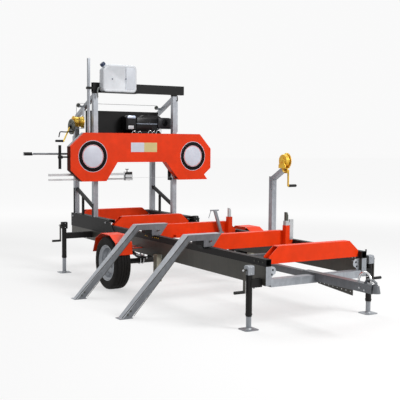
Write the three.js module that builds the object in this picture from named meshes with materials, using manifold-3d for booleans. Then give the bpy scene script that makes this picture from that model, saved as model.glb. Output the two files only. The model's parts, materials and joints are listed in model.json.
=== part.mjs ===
// Portable band sawmill: a wheeled bed with rails, and a band saw head that lifts on a rolling carriage.
// Millimetres. +X runs across the bed to the winch post side, +Y along the bed away from the hitch, +Z up.
import * as THREE from "three";
import { mergeVertices } from "three/addons/utils/BufferGeometryUtils.js";
import Module from "manifold-3d";

const wasm = await Module();
wasm.setup();

// Fits shared by every piece
const CLEAR = 0.3;
const OVERRUN = 5;
const WELD = 1;
const ROUND_SIDES = 12;

// Running gear: the wheels' axle carries the beams on leaf springs
const TYRE_R = 295;
const TYRE_WIDE = 176;
const RIM_R = 192;
const HUB_R = 45;
const HUB_IN = 60;
const HUB_OUT = 55;
const SPINDLE_R = 20;
const AXLE_R = 30;
const SPRING_TALL = 62;
const SPRING_HALF = 250;
const SPRING_WIDE = 50;
const SPRING_RISE = 30;
const LEAF_THICK = 8;
const LEAF_COUNT = 3;
const HANGER_LONG = 40;
const WHEEL_OUT = 345;
const FENDER_WIDE = 200;
const FENDER_SHEET = 4;
const FENDER_END_GAP = 30;
const FENDER_TOP_GAP = 27;
const FENDER_ARM = 8;
const FENDER_ARM_WIDE = 40;
const FENDER_RAMP_GAP = 9;

// Bed: side beams, rails and bunks
const BEAM_WIDE = 60;
const BEAM_TALL = 170;
const BEAM_WALL = 6;
const BEAM_OVERHANG = 45;
const RAIL_TALL = 64;
const RAIL_WALL = 5;
const BUNK_COUNT = 5;
const FRONT_BAY = 1010;
const BAY = 1080;
const BUNK_LENGTH = 1040;
const BUNK_END_GAP = 5;
const BUNK_DEEP = 80;
const BUNK_TALL = 155;
const BUNK_WALL = 6;
const BUNK_END_TALL = 62;
const BUNK_END_INSET = 107;
const BUNK_LIFT = 12;
const CLEAT_REACH = 34;
const CLEAT_THICK = 6;
const CLEAT_DROP = 50;
const GUSSET_REACH = 55;
const GUSSET_THICK = 8;
const GUSSET_TOP_DROP = 7;
const GUSSET_BOLT = 16;
const LEG_STUB_X = 60;
const LEG_STUB_Y = 80;
const LEG_STUB_AT_Y = 1890;
const LEG_STUB_LAP = 43;
const LEG_STUB_LONG = 290;
const BEAM_BOTTOM = TYRE_R + AXLE_R + SPRING_TALL;
const BEAM_TOP = BEAM_BOTTOM + BEAM_TALL;
const RAIL_TOP = BEAM_TOP + RAIL_TALL;
const BUNK_BOTTOM = BEAM_TOP + BUNK_LIFT;
const BUNK_TOP = BUNK_BOTTOM + BUNK_TALL;
const BUNK_HALF = BUNK_LENGTH / 2;
const BEAM_INNER = BUNK_HALF + BUNK_END_GAP;
const BEAM_OUTER = BEAM_INNER + BEAM_WIDE;
const RAIL_X = BEAM_INNER + BEAM_WIDE / 2;
const LAST_BUNK_BACK = FRONT_BAY + (BUNK_COUNT - 2) * BAY + BUNK_DEEP;
const BEAM_BACK = LAST_BUNK_BACK + BEAM_OVERHANG - OVERRUN * 2;

// Cross tubes and drawbar
const CROSS_DEEP = 80;
const CROSS_TALL = 70;
const CROSS_WALL = 5;
const CROSS_DROP = 15;
const MID_CROSS_Y = 1180;
const INNER_BAR = 60;
const INNER_BAR_WALL = 4;
const DRAWBAR_RISE = 54;
const INNER_BAR_FRONT = -600;
const SLEEVE_WALL = 7.2;
const SLEEVE_BACK = 130;
const SLEEVE_FRONT = -780;
const HITCH_PLATE_THICK = 8;
const HITCH_PLATE_LONG = 460;
const HITCH_PLATE_BACK_DROP = 22;
const HITCH_PLATE_FRONT_DROP = 58;
const HITCH_HOLES = 8;
const HITCH_HOLE = 14;
const BALL_SOCKET_R = 26;
const BALL_HOUSING_R = 37;
const BALL_HOUSING_TALL = 62;
const LATCH_THICK = 8;
const CROSS_BOTTOM = BEAM_BOTTOM - CROSS_DROP;
const DRAWBAR_Z = CROSS_BOTTOM + DRAWBAR_RISE;
const SLEEVE_OUTER = INNER_BAR + 2 * CLEAR + 2 * SLEEVE_WALL;

// Jacks
const JACK_FRONT_OUT = 115;
const JACK_FRONT_Y = 40;
const JACK_REAR_OUT = 365;
const JACK_REAR_INSET = 610;
const JACK_REAR_Y = LAST_BUNK_BACK - JACK_REAR_INSET;
const JACK_REAR_RAISE = 65;
const JACK_ARM_REAR_RAISE = 52;
const JACK_ARM = 70;
const JACK_ARM_DROP = 14;
const JACK_TUBE_R = 28.5;
const JACK_TUBE_WALL = 4.7;
const JACK_TUBE_BOTTOM = 130;
const JACK_CAP_RISE = 113;
const JACK_CAP_TALL = 81;
const JACK_CAP_WIDE = 66;
const JACK_LEG_WALL = 4;
const JACK_LEG_INSIDE = 230;
const JACK_FOOT = 145;
const JACK_FOOT_THICK = 6;
const CRANK_SHAFT_R = 8;
const CRANK_ARM_LONG = 190;
const CRANK_ARM_WIDE = 24;
const CRANK_ARM_THICK = 12;
const CRANK_GRIP_LONG = 100;
const CRANK_GRIP_R = 12;
const JACK_ARM_BOTTOM = BEAM_BOTTOM - JACK_ARM_DROP;
const JACK_CAP_BOTTOM = JACK_ARM_BOTTOM + JACK_CAP_RISE;

// Ramps hooked over the left rail
const RAMP_WIDE = 100;
const RAMP_AHEAD = 80;
const RAMP_DEEP = 60;
const RAMP_WALL = 5;
const RAMP_RISE = 124;
const RAMP_KNEE_OUT = 215;
const RAMP_RUN = 690;
const RAMP_HOOK_IN = 105;
const RAMP_HEEL_IN = 13;
const RAMP_PLATE_OUT = 35;
const RAMP_SHOE_LONG = 135;
const RAMP_SHOE_THICK = 6;
const RAMP_BOLT = 18;
const RAMP_TOP = RAIL_TOP + RAMP_RISE;
const RAMP_KNEE_X = -BEAM_OUTER - RAMP_KNEE_OUT;
const RAMP_FOOT_X = RAMP_KNEE_X - RAMP_RUN;
const RAMP_HOOK_X = RAMP_HOOK_IN - BEAM_INNER;
const RAMP_HOOK_HEEL_X = RAMP_HEEL_IN - BEAM_INNER;
const RAMP_PLATE_X = -BEAM_OUTER - RAMP_PLATE_OUT;

// Mudguards and wheels stand just behind the rear ramp
const FENDER_HALF = TYRE_R + FENDER_END_GAP;
const FENDER_TOP_RISE = TYRE_R + FENDER_TOP_GAP;
const FENDER_FRONT_SHARE = 0.88;
const WHEEL_X = RAIL_X + WHEEL_OUT;
const WHEEL_Y = FRONT_BAY + BAY - RAMP_AHEAD + RAMP_WIDE + FENDER_RAMP_GAP + FENDER_HALF * FENDER_FRONT_SHARE;

// Log stops, clamp and log winch
const STOP_IN = 105;
const STOP_BAR = 30;
const STOP_SLEEVE_WALL = 11;
const STOP_SLEEVE_RISE = 56;
const STOP_FOOT_RISE = 31;
const STOP_1_RISE = 156;
const STOP_2_RISE = 193;
const STOP_CAP_TALL = 96;
const STOP_POST_OUT = 60;
const STOP_POST_WIDE = 46;
const STOP_POST_RISE = 116;
const CLAMP_RAIL = 30;
const CLAMP_RAIL_LONG = 650;
const CLAMP_RAIL_STOP_GAP = 65;
const CLAMP_RAIL_RISE = 6;
const CLAMP_RAIL_GAP = 25;
const CLAMP_FOOT_IN = 60;
const CLAMP_LEAN = 85;
const CLAMP_RISE = 142;
const CLAMP_SLEEVE_WALL = 8;
const CLAMP_SLEEVE_LONG = 60;
const CLAMP_BAR_WIDE = 34;
const CLAMP_HANDLE_LONG = 110;
const CLAMP_HANDLE_R = 8;
const CLAMP_LEVER_R = 4;
const WINCH_POST = 60;
const WINCH_POST_WALL = 4;
const WINCH_POST_Y = 1500;
const WINCH_POST_FOOT_RISE = 5;
const WINCH_POST_RISE = 708;
const WINCH_ARM_REACH = 200;
const WINCH_ARM_RISE = 101;
const LOG_DRUM_RISE = 74;
const LOG_DRUM_R = 28;
const LOG_FLANGE_R = 60;
const LOG_GEAR_MODULE = 3.7;
const LOG_GEAR_TEETH = 45;
const LOG_PINION_TEETH = 12;
const LOG_GEAR_THICK = 8;
const LOG_FRAME_WIDE = 60;
const WINCH_SHEET = 5;
const LOG_CRANK_LONG = 165;
const WINCH_SHAFT_R = 7;
const HOOK_CORD_R = 4;
const HOOK_DROP = 110;
const STOP_X = BUNK_HALF - STOP_IN;
const STOP_BOTTOM = BUNK_BOTTOM + STOP_FOOT_RISE;
const STOP_1_TOP = BUNK_TOP + STOP_1_RISE;
const STOP_2_TOP = BUNK_TOP + STOP_2_RISE;
const STOP_POST_X = STOP_X + STOP_POST_OUT;
const STOP_POST_TOP = BUNK_TOP + STOP_POST_RISE;
const CLAMP_RAIL_TO_X = STOP_X - CLAMP_RAIL_STOP_GAP;
const CLAMP_RAIL_FROM_X = CLAMP_RAIL_TO_X - CLAMP_RAIL_LONG;
const CLAMP_RAIL_BOTTOM = BUNK_BOTTOM + CLAMP_RAIL_RISE;
const CLAMP_FOOT_X = CLAMP_RAIL_TO_X - CLAMP_FOOT_IN;
const CLAMP_HEAD_X = CLAMP_FOOT_X - CLAMP_LEAN;
const CLAMP_TOP = BUNK_TOP + CLAMP_RISE;
const WINCH_POST_FOOT = BEAM_BOTTOM + WINCH_POST_FOOT_RISE;
const WINCH_POST_TOP = BEAM_TOP + WINCH_POST_RISE;
const WINCH_ARM_END_Y = WINCH_POST_Y - WINCH_ARM_REACH;
const WINCH_ARM_END_Z = WINCH_POST_TOP + WINCH_ARM_RISE;
const LOG_DRUM_Z = WINCH_ARM_END_Z + LOG_DRUM_RISE;
const LOG_CRANK_DROP = LOG_GEAR_MODULE * (LOG_GEAR_TEETH + LOG_PINION_TEETH) / 2;

// Carriage: soles on rollers, posts, top beam and tank
const CARRIAGE_SETBACK = 680;
const POST_PITCH = 600;
const SOLE_FRONT_REACH = 465;
const SOLE_BACK_REACH = 110;
const SOLE_NOSE = 155;
const SOLE_NOSE_TALL = 44;
const SOLE_HEADROOM = 3;
const SOLE_SKIRT_TALL = 170;
const SOLE_SHEET = 6;
const SOLE_INNER_GAP = 20;
const SOLE_OUTER_GAP = 3;
const SOLE_LIP_TALL = 41;
const ROLLER_R = 28;
const ROLLER_WIDE = 46;
const ROLLER_PIN_R = 6;
const ROLLER_FRONT_IN = 75;
const ROLLER_REAR_IN = 80;
const POST = 60;
const POST_WALL = 4;
const POST_OUT = 10;
const AXIS_RISE = 754;
const HEAD_SLEEVE_RISE = 260;
const HEAD_HEADROOM = 260;
const BRACE_FALL = 270;
const BRACE_TALL = 44;
const BRACE_DROP = 18;
const LOW_BRACE_HIGH_RISE = 324;
const LOW_BRACE_LOW_RISE = 114;
const LOW_BRACE_TALL = 40;
const BRACE_STAY_BACK = 380;
const POST_STRIP_TALL = 335;
const TOP_BEAM_LEFT_REACH = 35;
const TOP_BEAM_RIGHT_REACH = 135;
const TOP_BEAM_GAP = 20;
const TOP_BEAM_TALL = 115;
const TOP_BEAM_WALL = 5;
const TANK_IN = 80;
const TANK_LONG = 500;
const TANK_DROP = 5;
const TANK_TALL = 355;
const TANK_DEEP = 124;
const TANK_CORNER = 18;
const TANK_CAP_R = 30;
const TANK_CAP_IN = 50;
const FRONT_POST_Y = LAST_BUNK_BACK - CARRIAGE_SETBACK;
const REAR_POST_Y = FRONT_POST_Y + POST_PITCH;
const SOLE_FRONT = FRONT_POST_Y - SOLE_FRONT_REACH;
const SOLE_BACK = REAR_POST_Y + SOLE_BACK_REACH;
const SOLE_TOP = RAIL_TOP + 2 * ROLLER_R + SOLE_SHEET + SOLE_HEADROOM;
const SOLE_SKIRT_BOTTOM = SOLE_TOP - SOLE_SKIRT_TALL;
const SOLE_INNER_X = BEAM_INNER - SOLE_INNER_GAP;
const ROLLER_FRONT_Y = SOLE_FRONT + ROLLER_FRONT_IN;
const ROLLER_REAR_Y = SOLE_BACK - ROLLER_REAR_IN;
const POST_X = RAIL_X + POST_OUT;
const WHEEL_AXIS_Z = SOLE_TOP + AXIS_RISE;
const HEAD_SLEEVE_TOP = WHEEL_AXIS_Z + HEAD_SLEEVE_RISE;
const REAR_POST_TOP = HEAD_SLEEVE_TOP + HEAD_HEADROOM;
const FRONT_POST_TOP = REAR_POST_TOP + BRACE_FALL;
const LOW_BRACE_HIGH = SOLE_TOP + LOW_BRACE_HIGH_RISE;
const LOW_BRACE_LOW = SOLE_TOP + LOW_BRACE_LOW_RISE;
const BRACE_STAY_Y = FRONT_POST_Y + BRACE_STAY_BACK;
const TOP_BEAM_LEFT = -POST_X - TOP_BEAM_LEFT_REACH;
const TOP_BEAM_RIGHT = POST_X + TOP_BEAM_RIGHT_REACH;
const TOP_BEAM_BOTTOM = FRONT_POST_TOP + TOP_BEAM_GAP;
const TANK_LEFT = TOP_BEAM_LEFT + TANK_IN;
const TANK_RIGHT = TANK_LEFT + TANK_LONG;
const TANK_BOTTOM = TOP_BEAM_BOTTOM - TANK_DROP;
const TANK_CAP_X = TANK_LEFT + TANK_CAP_IN;

// Height of the sloping brace between the posts' tops
const braceZ = (y) => REAR_POST_TOP - BRACE_DROP + (BRACE_FALL * (REAR_POST_Y - y)) / POST_PITCH;

// Lift winch and cable
const LIFT_BACK = 300;
const LIFT_DRUM_DROP = 197;
const LIFT_DRUM_R = 40;
const LIFT_FLANGE_R = 75;
const LIFT_FRAME_OUT = 170;
const LIFT_FRAME_IN = 35;
const LIFT_GEAR_MODULE = 2.7;
const LIFT_GEAR_TEETH = 35;
const LIFT_PINION_TEETH = 12;
const LIFT_GEAR_THICK = 9;
const LIFT_DISC_R = 97;
const LIFT_ARM_OUT = 125;
const LIFT_ARM_FORWARD = 100;
const LIFT_ARM_DOWN = 181;
const LIFT_GRIP_LONG = 105;
const CABLE_R = 3;
const SHEAVE_R = 25;
const SHEAVE_THICK = 14;
const SHEAVE_RISE = 13;
const SHEAVE_LEFT_OUT = 75;
const SHEAVE_RIGHT_IN = 80;
const LIFT_Y = FRONT_POST_Y + LIFT_BACK;
const LIFT_DRUM_Z = braceZ(LIFT_Y) - LIFT_DRUM_DROP;
const LIFT_FRAME_LEFT = -POST_X - LIFT_FRAME_OUT;
const LIFT_FRAME_RIGHT = -POST_X - LIFT_FRAME_IN;
const LIFT_SHAFT_DROP = LIFT_GEAR_MODULE * (LIFT_GEAR_TEETH + LIFT_PINION_TEETH) / 2;
const SHEAVE_Z = braceZ(LIFT_Y) + SHEAVE_RISE;
const SHEAVE_LEFT_X = -POST_X - SHEAVE_LEFT_OUT;
const SHEAVE_RIGHT_X = POST_X - SHEAVE_RIGHT_IN;

// Head: band wheels in their housing, frame and guides
const IDLER_OUT = 92;
const DRIVE_OUT = 208;
const BAND_WHEEL_R = 264;
const BAND_WHEEL_WIDE = 38;
const BAND_HUB_R = 45;
const BAND_SHAFT_R = 15;
const BLADE_WIDE = 35;
const BLADE_THICK = 1.2;
const BLADE_ARC_STEPS = 25;
const BLADE_STRAIGHT_STEPS = 28;
const TOOTH_DEEP = 9;
const HOUSING_GAP = 36;
const COVER_DEEP = 105;
const COVER_SHEET = 3;
const BACK_PLATE = 6;
const SLEEVE_SHEET = 8;
const HEAD_SLEEVE_DROP = 110;
const REAR_SLEEVE_DROP = 25;
const MAIN_BEAM_LEFT_REACH = 155;
const MAIN_BEAM_RIGHT_REACH = 265;
const MAIN_BEAM_TALL = 70;
const MAIN_BEAM_DEEP = 60;
const MAIN_BEAM_WALL = 6;
const SIDE_ARM_WIDE = 30;
const SIDE_ARM_TALL = 40;
const GUARD_BACK = 335;
const GUARD_DEEP = 50;
const GUARD_RISE = 50;
const GUARD_SHEET = 4;
const SCALE_BAR = 30;
const SCALE_BAR_OUT = 84;
const SCALE_BAR_RISE = 430;
const SCALE_BAR_LAP = 60;
const PUSH_ROD_RISE = 35;
const PUSH_ROD_LONG = 630;
const PUSH_ROD_R = 11;
const PUSH_GRIP_LONG = 110;
const PUSH_GRIP_R = 18;
const SLIDE_LONG = 160;
const SLIDE_TALL = 70;
const SLIDE_DEEP = 30;
const SLIDE_GUIDE = 10;
const SCREW_R = 10;
const SCREW_BLADE_GAP = 8;
const T_HANDLE_OUT = 106;
const T_HANDLE_LONG = 290;
const T_HANDLE_R = 18;
const T_HUB_R = 20;
const ARM_LONG = 1010;
const ARM_REACH = 467;
const ARM_UPPER_RISE = 46;
const ARM_UPPER_TALL = 30;
const ARM_LOWER_DROP = 13;
const ARM_LOWER_TALL = 22;
const ARM_DEEP = 24;
const ARM_BACK_GAP = 6;
const GUIDE_BLOCK_LONG = 110;
const ARM_BRACKET_IN = 57;
const ARM_BRACKET_LONG = 60;
const FIXED_GUIDE_IN = 288;
const FIXED_GUIDE_WIDE = 34;
const IDLER_X = -POST_X - IDLER_OUT;
const DRIVE_X = POST_X + DRIVE_OUT;
const HOUSING_R = BAND_WHEEL_R + HOUSING_GAP;
const BLADE_Z = WHEEL_AXIS_Z - BAND_WHEEL_R;
const COVER_FRONT = FRONT_POST_Y - POST / 2 - SLEEVE_SHEET - BACK_PLATE - COVER_DEEP - 3 * CLEAR;
const COVER_BACK = COVER_FRONT + COVER_DEEP;
const PLATE_FRONT = COVER_BACK + CLEAR;
const PLATE_BACK = PLATE_FRONT + BACK_PLATE;
const BAND_Y = COVER_FRONT + COVER_DEEP * 0.42;
const HEAD_SLEEVE_BOTTOM = WHEEL_AXIS_Z - HEAD_SLEEVE_DROP;
const REAR_SLEEVE_BOTTOM = WHEEL_AXIS_Z - REAR_SLEEVE_DROP;
const MAIN_BEAM_LEFT = -POST_X - MAIN_BEAM_LEFT_REACH;
const MAIN_BEAM_RIGHT = POST_X + MAIN_BEAM_RIGHT_REACH;
const MAIN_BEAM_FRONT = FRONT_POST_Y + POST / 2 + SLEEVE_SHEET + CLEAR;
const MAIN_BEAM_Y = MAIN_BEAM_FRONT + MAIN_BEAM_DEEP / 2;
const MAIN_BEAM_BACK = MAIN_BEAM_FRONT + MAIN_BEAM_DEEP;
const SIDE_ARM_BOTTOM = WHEEL_AXIS_Z - SIDE_ARM_TALL / 2;
const GUARD_Y = FRONT_POST_Y + GUARD_BACK;
const SCALE_BAR_X = -POST_X - SCALE_BAR_OUT;
const SCALE_BAR_TOP = FRONT_POST_TOP + SCALE_BAR_RISE;
const SCALE_BAR_BOTTOM = HEAD_SLEEVE_TOP - SCALE_BAR_LAP;
const PUSH_ROD_Z = WHEEL_AXIS_Z + PUSH_ROD_RISE;
const PUSH_ROD_END_X = MAIN_BEAM_LEFT - PUSH_ROD_LONG;
const SCREW_Y = BAND_Y + BLADE_WIDE / 2 + SCREW_R + SCREW_BLADE_GAP;
const ARM_RIGHT = IDLER_X + ARM_REACH;
const ARM_LEFT = ARM_RIGHT - ARM_LONG;
const ARM_UPPER_Z = BLADE_Z + ARM_UPPER_RISE;
const ARM_LOWER_Z = BLADE_Z - ARM_LOWER_DROP;
const ARM_BRACKET_X = IDLER_X + ARM_BRACKET_IN;
const FIXED_GUIDE_X = DRIVE_X - FIXED_GUIDE_IN;

// Engine and belt
const PULLEY_BACK = 120;
const BELT_WIDE = 22;
const BELT_THICK = 9;
const BELT_ARC_STEPS = 12;
const ENGINE_PULLEY_R = 50;
const DRIVE_PULLEY_R = 100;
const ENGINE_SHAFT_IN = 483;
const ENGINE_SHAFT_RISE = 125;
const ENGINE_RISE = 125;
const ENGINE_GAP = 30;
const ENGINE_DEEP = 175;
const ENGINE_TALL = 415;
const ENGINE_LONG = 470;
const ENGINE_SHAFT_AT = 280;
const FILTER_LONG = 170;
const PULLEY_Y = FRONT_POST_Y + PULLEY_BACK;
const ENGINE_FRONT = PULLEY_Y + ENGINE_GAP;
const ENGINE_BOTTOM = WHEEL_AXIS_Z + ENGINE_RISE;
const ENGINE_TOP = ENGINE_BOTTOM + ENGINE_TALL;
const ENGINE_SHAFT_X = DRIVE_X - ENGINE_SHAFT_IN;
const ENGINE_SHAFT_Z = ENGINE_BOTTOM + ENGINE_SHAFT_RISE;
const ENGINE_LEFT = ENGINE_SHAFT_X - ENGINE_SHAFT_AT;
const ENGINE_RIGHT = ENGINE_LEFT + ENGINE_LONG;
const FILTER_RIGHT = ENGINE_RIGHT + FILTER_LONG;
const GUARD_TOP = ENGINE_TOP + GUARD_RISE;

// Housing outline as shares of its radius from each wheel's axis, anticlockwise over both ends
const leftHousingShares = [[-0.363, 1], [-0.983, 0.433], [-0.983, -0.533], [-0.48, -1], [0.61, -1], [1.117, -0.217]];
const rightHousingShares = [[-1.343, -0.217], [-0.7, -1], [0.757, -1], [0.59, -0.783], [0.92, -0.493], [0.92, 0.36],
  [0.35, 1]];
const placed = (x, [a, b]) => [x + a * HOUSING_R, WHEEL_AXIS_Z + b * HOUSING_R];
const leftHousing = leftHousingShares.map((share) => placed(IDLER_X, share));
const rightHousing = rightHousingShares.map((share) => placed(DRIVE_X, share));
const COVER_LEFT = leftHousing[1][0];
const THROAT_LEFT = leftHousing.at(-1)[0];
const T_HANDLE_X = COVER_LEFT - T_HANDLE_OUT;

// Finishes
const finish = (color, roughness, metalness) => new THREE.MeshStandardMaterial({ color, roughness, metalness });
const ORANGE = finish(0xe8401c, 0.4, 0);
const GALVANISED = finish(0xa9afb3, 0.45, 0.7);
const BLACK = finish(0x17181a, 0.5, 0.1);
const YELLOW = finish(0xe8b21e, 0.4, 0.2);
const TYRE_RUBBER = finish(0x1b1b1c, 0.85, 0);
const WHITE_PLASTIC = finish(0xe9eae6, 0.35, 0);
const BRIGHT_STEEL = finish(0xc4c8ca, 0.3, 0.9);
const BELT_RUBBER = finish(0x222223, 0.8, 0);

// Solids from three.js geometries
function solidFrom(geometry, flip = false) {
  const bare = geometry.clone();
  bare.deleteAttribute("normal");
  bare.deleteAttribute("uv");
  const merged = mergeVertices(bare);
  const index = merged.index.array;
  const kept = [];
  for (let i = 0; i < index.length; i += 3) {
    const [a, b, c] = [index[i], index[i + 1], index[i + 2]];
    if (a !== b && b !== c && c !== a) {
      kept.push(...(flip ? [a, c, b] : [a, b, c]));
    }
  }
  const vertProperties = new Float32Array(merged.attributes.position.array);
  return new wasm.Manifold(new wasm.Mesh({ numProp: 3, vertProperties, triVerts: new Uint32Array(kept) }));
}

const join = (...solids) => solids.reduce((whole, next) => whole.add(next));
const cut = (solid, ...tools) => tools.reduce((left, tool) => left.subtract(tool), solid);

function box(...spans) {
  const low = spans.map((span) => Math.min(...span));
  const size = spans.map((span, i) => Math.max(...span) - low[i]);
  const geometry = new THREE.BoxGeometry(...size);
  geometry.translate(...low.map((value, i) => value + size[i] / 2));
  return solidFrom(geometry);
}

// A bar or tube with a rectangular section; centre and section are given in the order of the other two axes
function bar(along, centre, section, span) {
  const spans = centre.map((middle, i) => [middle - section[i] / 2, middle + section[i] / 2]);
  spans.splice("xyz".indexOf(along), 0, span);
  return box(...spans);
}

function boxTube(along, centre, section, span, wall) {
  const inside = section.map((size) => size - 2 * wall);
  const through = [Math.min(...span) - OVERRUN, Math.max(...span) + OVERRUN];
  return cut(bar(along, centre, section, span), bar(along, centre, inside, through));
}

// An outline in the plane across an axis, in the order of the other two axes, drawn out along that axis
function prism(normal, outline, span) {
  const [from, to] = [Math.min(...span), Math.max(...span)];
  const shape = new THREE.Shape(outline.map(([a, b]) => new THREE.Vector2(a, b)));
  const geometry = new THREE.ExtrudeGeometry(shape, { depth: to - from, bevelEnabled: false });
  geometry.translate(0, 0, from);
  const turn = new THREE.Matrix4();
  if (normal === "x") {
    turn.set(0, 0, 1, 0, 1, 0, 0, 0, 0, 1, 0, 0, 0, 0, 0, 1);
  } else if (normal === "y") {
    turn.set(1, 0, 0, 0, 0, 0, 1, 0, 0, 1, 0, 0, 0, 0, 0, 1);
  }
  geometry.applyMatrix4(turn);
  return solidFrom(geometry, normal === "y");
}

function rod(from, to, radius, sides = ROUND_SIDES, endRadius = radius) {
  const start = new THREE.Vector3(...from);
  const run = new THREE.Vector3(...to).sub(start);
  const geometry = new THREE.CylinderGeometry(endRadius, radius, run.length(), sides);
  geometry.translate(0, run.length() / 2, 0);
  geometry.applyQuaternion(new THREE.Quaternion().setFromUnitVectors(new THREE.Vector3(0, 1, 0), run.normalize()));
  geometry.translate(...from);
  return solidFrom(geometry);
}

// Radius of a faceted bore whose flats clear a shaft's corners as it turns
const boreFor = (shaft) => (shaft + CLEAR) / Math.cos(Math.PI / ROUND_SIDES);

function pin(along, centre, radius, span, sides = ROUND_SIDES) {
  const ends = span.map((value) => {
    const point = [...centre];
    point.splice("xyz".indexOf(along), 0, value);
    return point;
  });
  return rod(ends[0], ends[1], radius, sides);
}

// A closed profile of (radius, distance along the axis) points turned about an axis
function turned(along, centre, profile, sides) {
  const points = [...profile, profile[0]].map(([r, t]) => new THREE.Vector2(r, t));
  const geometry = new THREE.LatheGeometry(points, sides);
  const direction = new THREE.Vector3();
  direction.setComponent("xyz".indexOf(along), 1);
  geometry.applyQuaternion(new THREE.Quaternion().setFromUnitVectors(new THREE.Vector3(0, 1, 0), direction));
  geometry.translate(...centre);
  const solid = solidFrom(geometry);
  return solid.volume() > 0 ? solid : solidFrom(geometry, true);
}

// A flat bar between two points of a plane across X, centred on the line between them
function strut(fromYZ, toYZ, tall, xSpan) {
  const [run, rise] = [toYZ[0] - fromYZ[0], toYZ[1] - fromYZ[1]];
  const half = tall / 2 / Math.hypot(run, rise);
  const [y, z] = [-rise * half, run * half];
  const corners = [[fromYZ, 1], [toYZ, 1], [toYZ, -1], [fromYZ, -1]];
  return prism("x", corners.map(([p, s]) => [p[0] + s * y, p[1] + s * z]), xSpan);
}

// The outline moved inwards by a sheet's thickness; corners run anticlockwise
function inset(outline, sheet) {
  const edges = outline.map((p, i) => {
    const q = outline[(i + 1) % outline.length];
    const length = Math.hypot(q[0] - p[0], q[1] - p[1]);
    const normal = [-(q[1] - p[1]) / length, (q[0] - p[0]) / length];
    return { at: [p[0] + normal[0] * sheet, p[1] + normal[1] * sheet], run: [q[0] - p[0], q[1] - p[1]] };
  });
  return edges.map((edge, i) => {
    const before = edges[(i + edges.length - 1) % edges.length];
    const cross = before.run[0] * edge.run[1] - before.run[1] * edge.run[0];
    const away = [edge.at[0] - before.at[0], edge.at[1] - before.at[1]];
    const share = (away[0] * edge.run[1] - away[1] * edge.run[0]) / cross;
    return [before.at[0] + before.run[0] * share, before.at[1] + before.run[1] * share];
  });
}

const mirrored = (outline, side) => outline.map(([a, b]) => [side * a, b]);

// An endless band round two wheels in a plane across Y: (x, z, reach, normal) at each station, with the given number
// of stations on each wheel's arc and on each straight
function bandStations(wheelA, wheelB, arcSteps, straightSteps) {
  const run = [wheelB.x - wheelA.x, wheelB.z - wheelA.z];
  const heading = Math.atan2(run[1], run[0]);
  const lean = Math.acos((wheelA.r - wheelB.r) / Math.hypot(...run));
  const stations = [];
  const arc = (wheel, from, to) => {
    for (let i = 0; i <= arcSteps; i += 1) {
      stations.push({ ...wheel, angle: from + ((to - from) * i) / arcSteps });
    }
  };
  const straight = (from, to, angle) => {
    for (let i = 1; i < straightSteps; i += 1) {
      const mix = (key) => from[key] + ((to[key] - from[key]) * i) / straightSteps;
      stations.push({ x: mix("x"), z: mix("z"), r: mix("r"), angle });
    }
  };
  arc(wheelA, heading + lean, heading + 2 * Math.PI - lean);
  straight(wheelA, wheelB, heading - lean);
  arc(wheelB, heading - lean, heading + lean);
  straight(wheelB, wheelA, heading + lean);
  return stations;
}

function band(stations, thick, backY, edgeOf) {
  const positions = stations.flatMap(({ x, z, r, angle }, i) => {
    const ring = [[r, edgeOf(i)], [r, backY], [r + thick, backY], [r + thick, edgeOf(i)]];
    return ring.flatMap(([reach, y]) => [x + reach * Math.cos(angle), y, z + reach * Math.sin(angle)]);
  });
  const index = [];
  for (let i = 0; i < stations.length; i += 1) {
    const [here, next] = [i * 4, ((i + 1) % stations.length) * 4];
    for (let k = 0; k < 4; k += 1) {
      const [a, b, c, d] = [here + k, here + ((k + 1) % 4), next + ((k + 1) % 4), next + k];
      index.push(a, b, c, a, c, d);
    }
  }
  const geometry = new THREE.BufferGeometry();
  geometry.setAttribute("position", new THREE.Float32BufferAttribute(positions, 3));
  geometry.setIndex(index);
  const solid = solidFrom(geometry);
  return solid.volume() > 0 ? solid : solidFrom(geometry, true);
}

const mill = new THREE.Group();

function add(name, solid, material) {
  const mesh = solid.getMesh();
  const geometry = new THREE.BufferGeometry();
  const positions = new Float32Array(mesh.numVert * 3);
  for (let i = 0; i < mesh.numVert; i += 1) {
    positions.set(mesh.vertProperties.slice(i * mesh.numProp, i * mesh.numProp + 3), i * 3);
  }
  geometry.setAttribute("position", new THREE.BufferAttribute(positions, 3));
  geometry.setIndex(new THREE.BufferAttribute(new Uint32Array(mesh.triVerts), 1));
  const piece = new THREE.Mesh(geometry, material);
  piece.name = name;
  mill.add(piece);
}

const SIDES = { left: -1, right: 1 };
const bunkFront = (i) => (i === 0 ? 0 : FRONT_BAY + (i - 1) * BAY);

// Side beam: a long tube with a seat cleat under each bunk's end, drilled gusset plates and a leg stub
function sideBeam(side) {
  const tube = boxTube("y", [side * RAIL_X, BEAM_BOTTOM + BEAM_TALL / 2], [BEAM_WIDE, BEAM_TALL],
    [-BEAM_OVERHANG, BEAM_BACK], BEAM_WALL);
  const cleats = Array.from({ length: BUNK_COUNT }, (_, i) => seatCleat(side, bunkFront(i)));
  const gussets = [-CLEAR - GUSSET_THICK, LAST_BUNK_BACK + CLEAR].map((y) => gussetPlate(side, y));
  return join(tube, ...cleats, ...gussets, legStub(side));
}

function seatCleat(side, front) {
  const seat = BUNK_BOTTOM - CLEAR;
  const root = side * (BEAM_INNER - CLEAR);
  const span = [front, front + BUNK_DEEP];
  const ledge = box([side * (BEAM_INNER - CLEAT_REACH), root], span, [seat - CLEAT_THICK, seat]);
  const web = box([side * (BEAM_INNER - CLEAT_THICK), root], span, [seat - CLEAT_DROP, seat]);
  const weld = box([side * (BEAM_INNER - CLEAT_THICK), side * (BEAM_INNER + WELD)], span,
    [seat - CLEAT_DROP, BEAM_TOP - WELD]);
  return join(ledge, web, weld);
}

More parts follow.
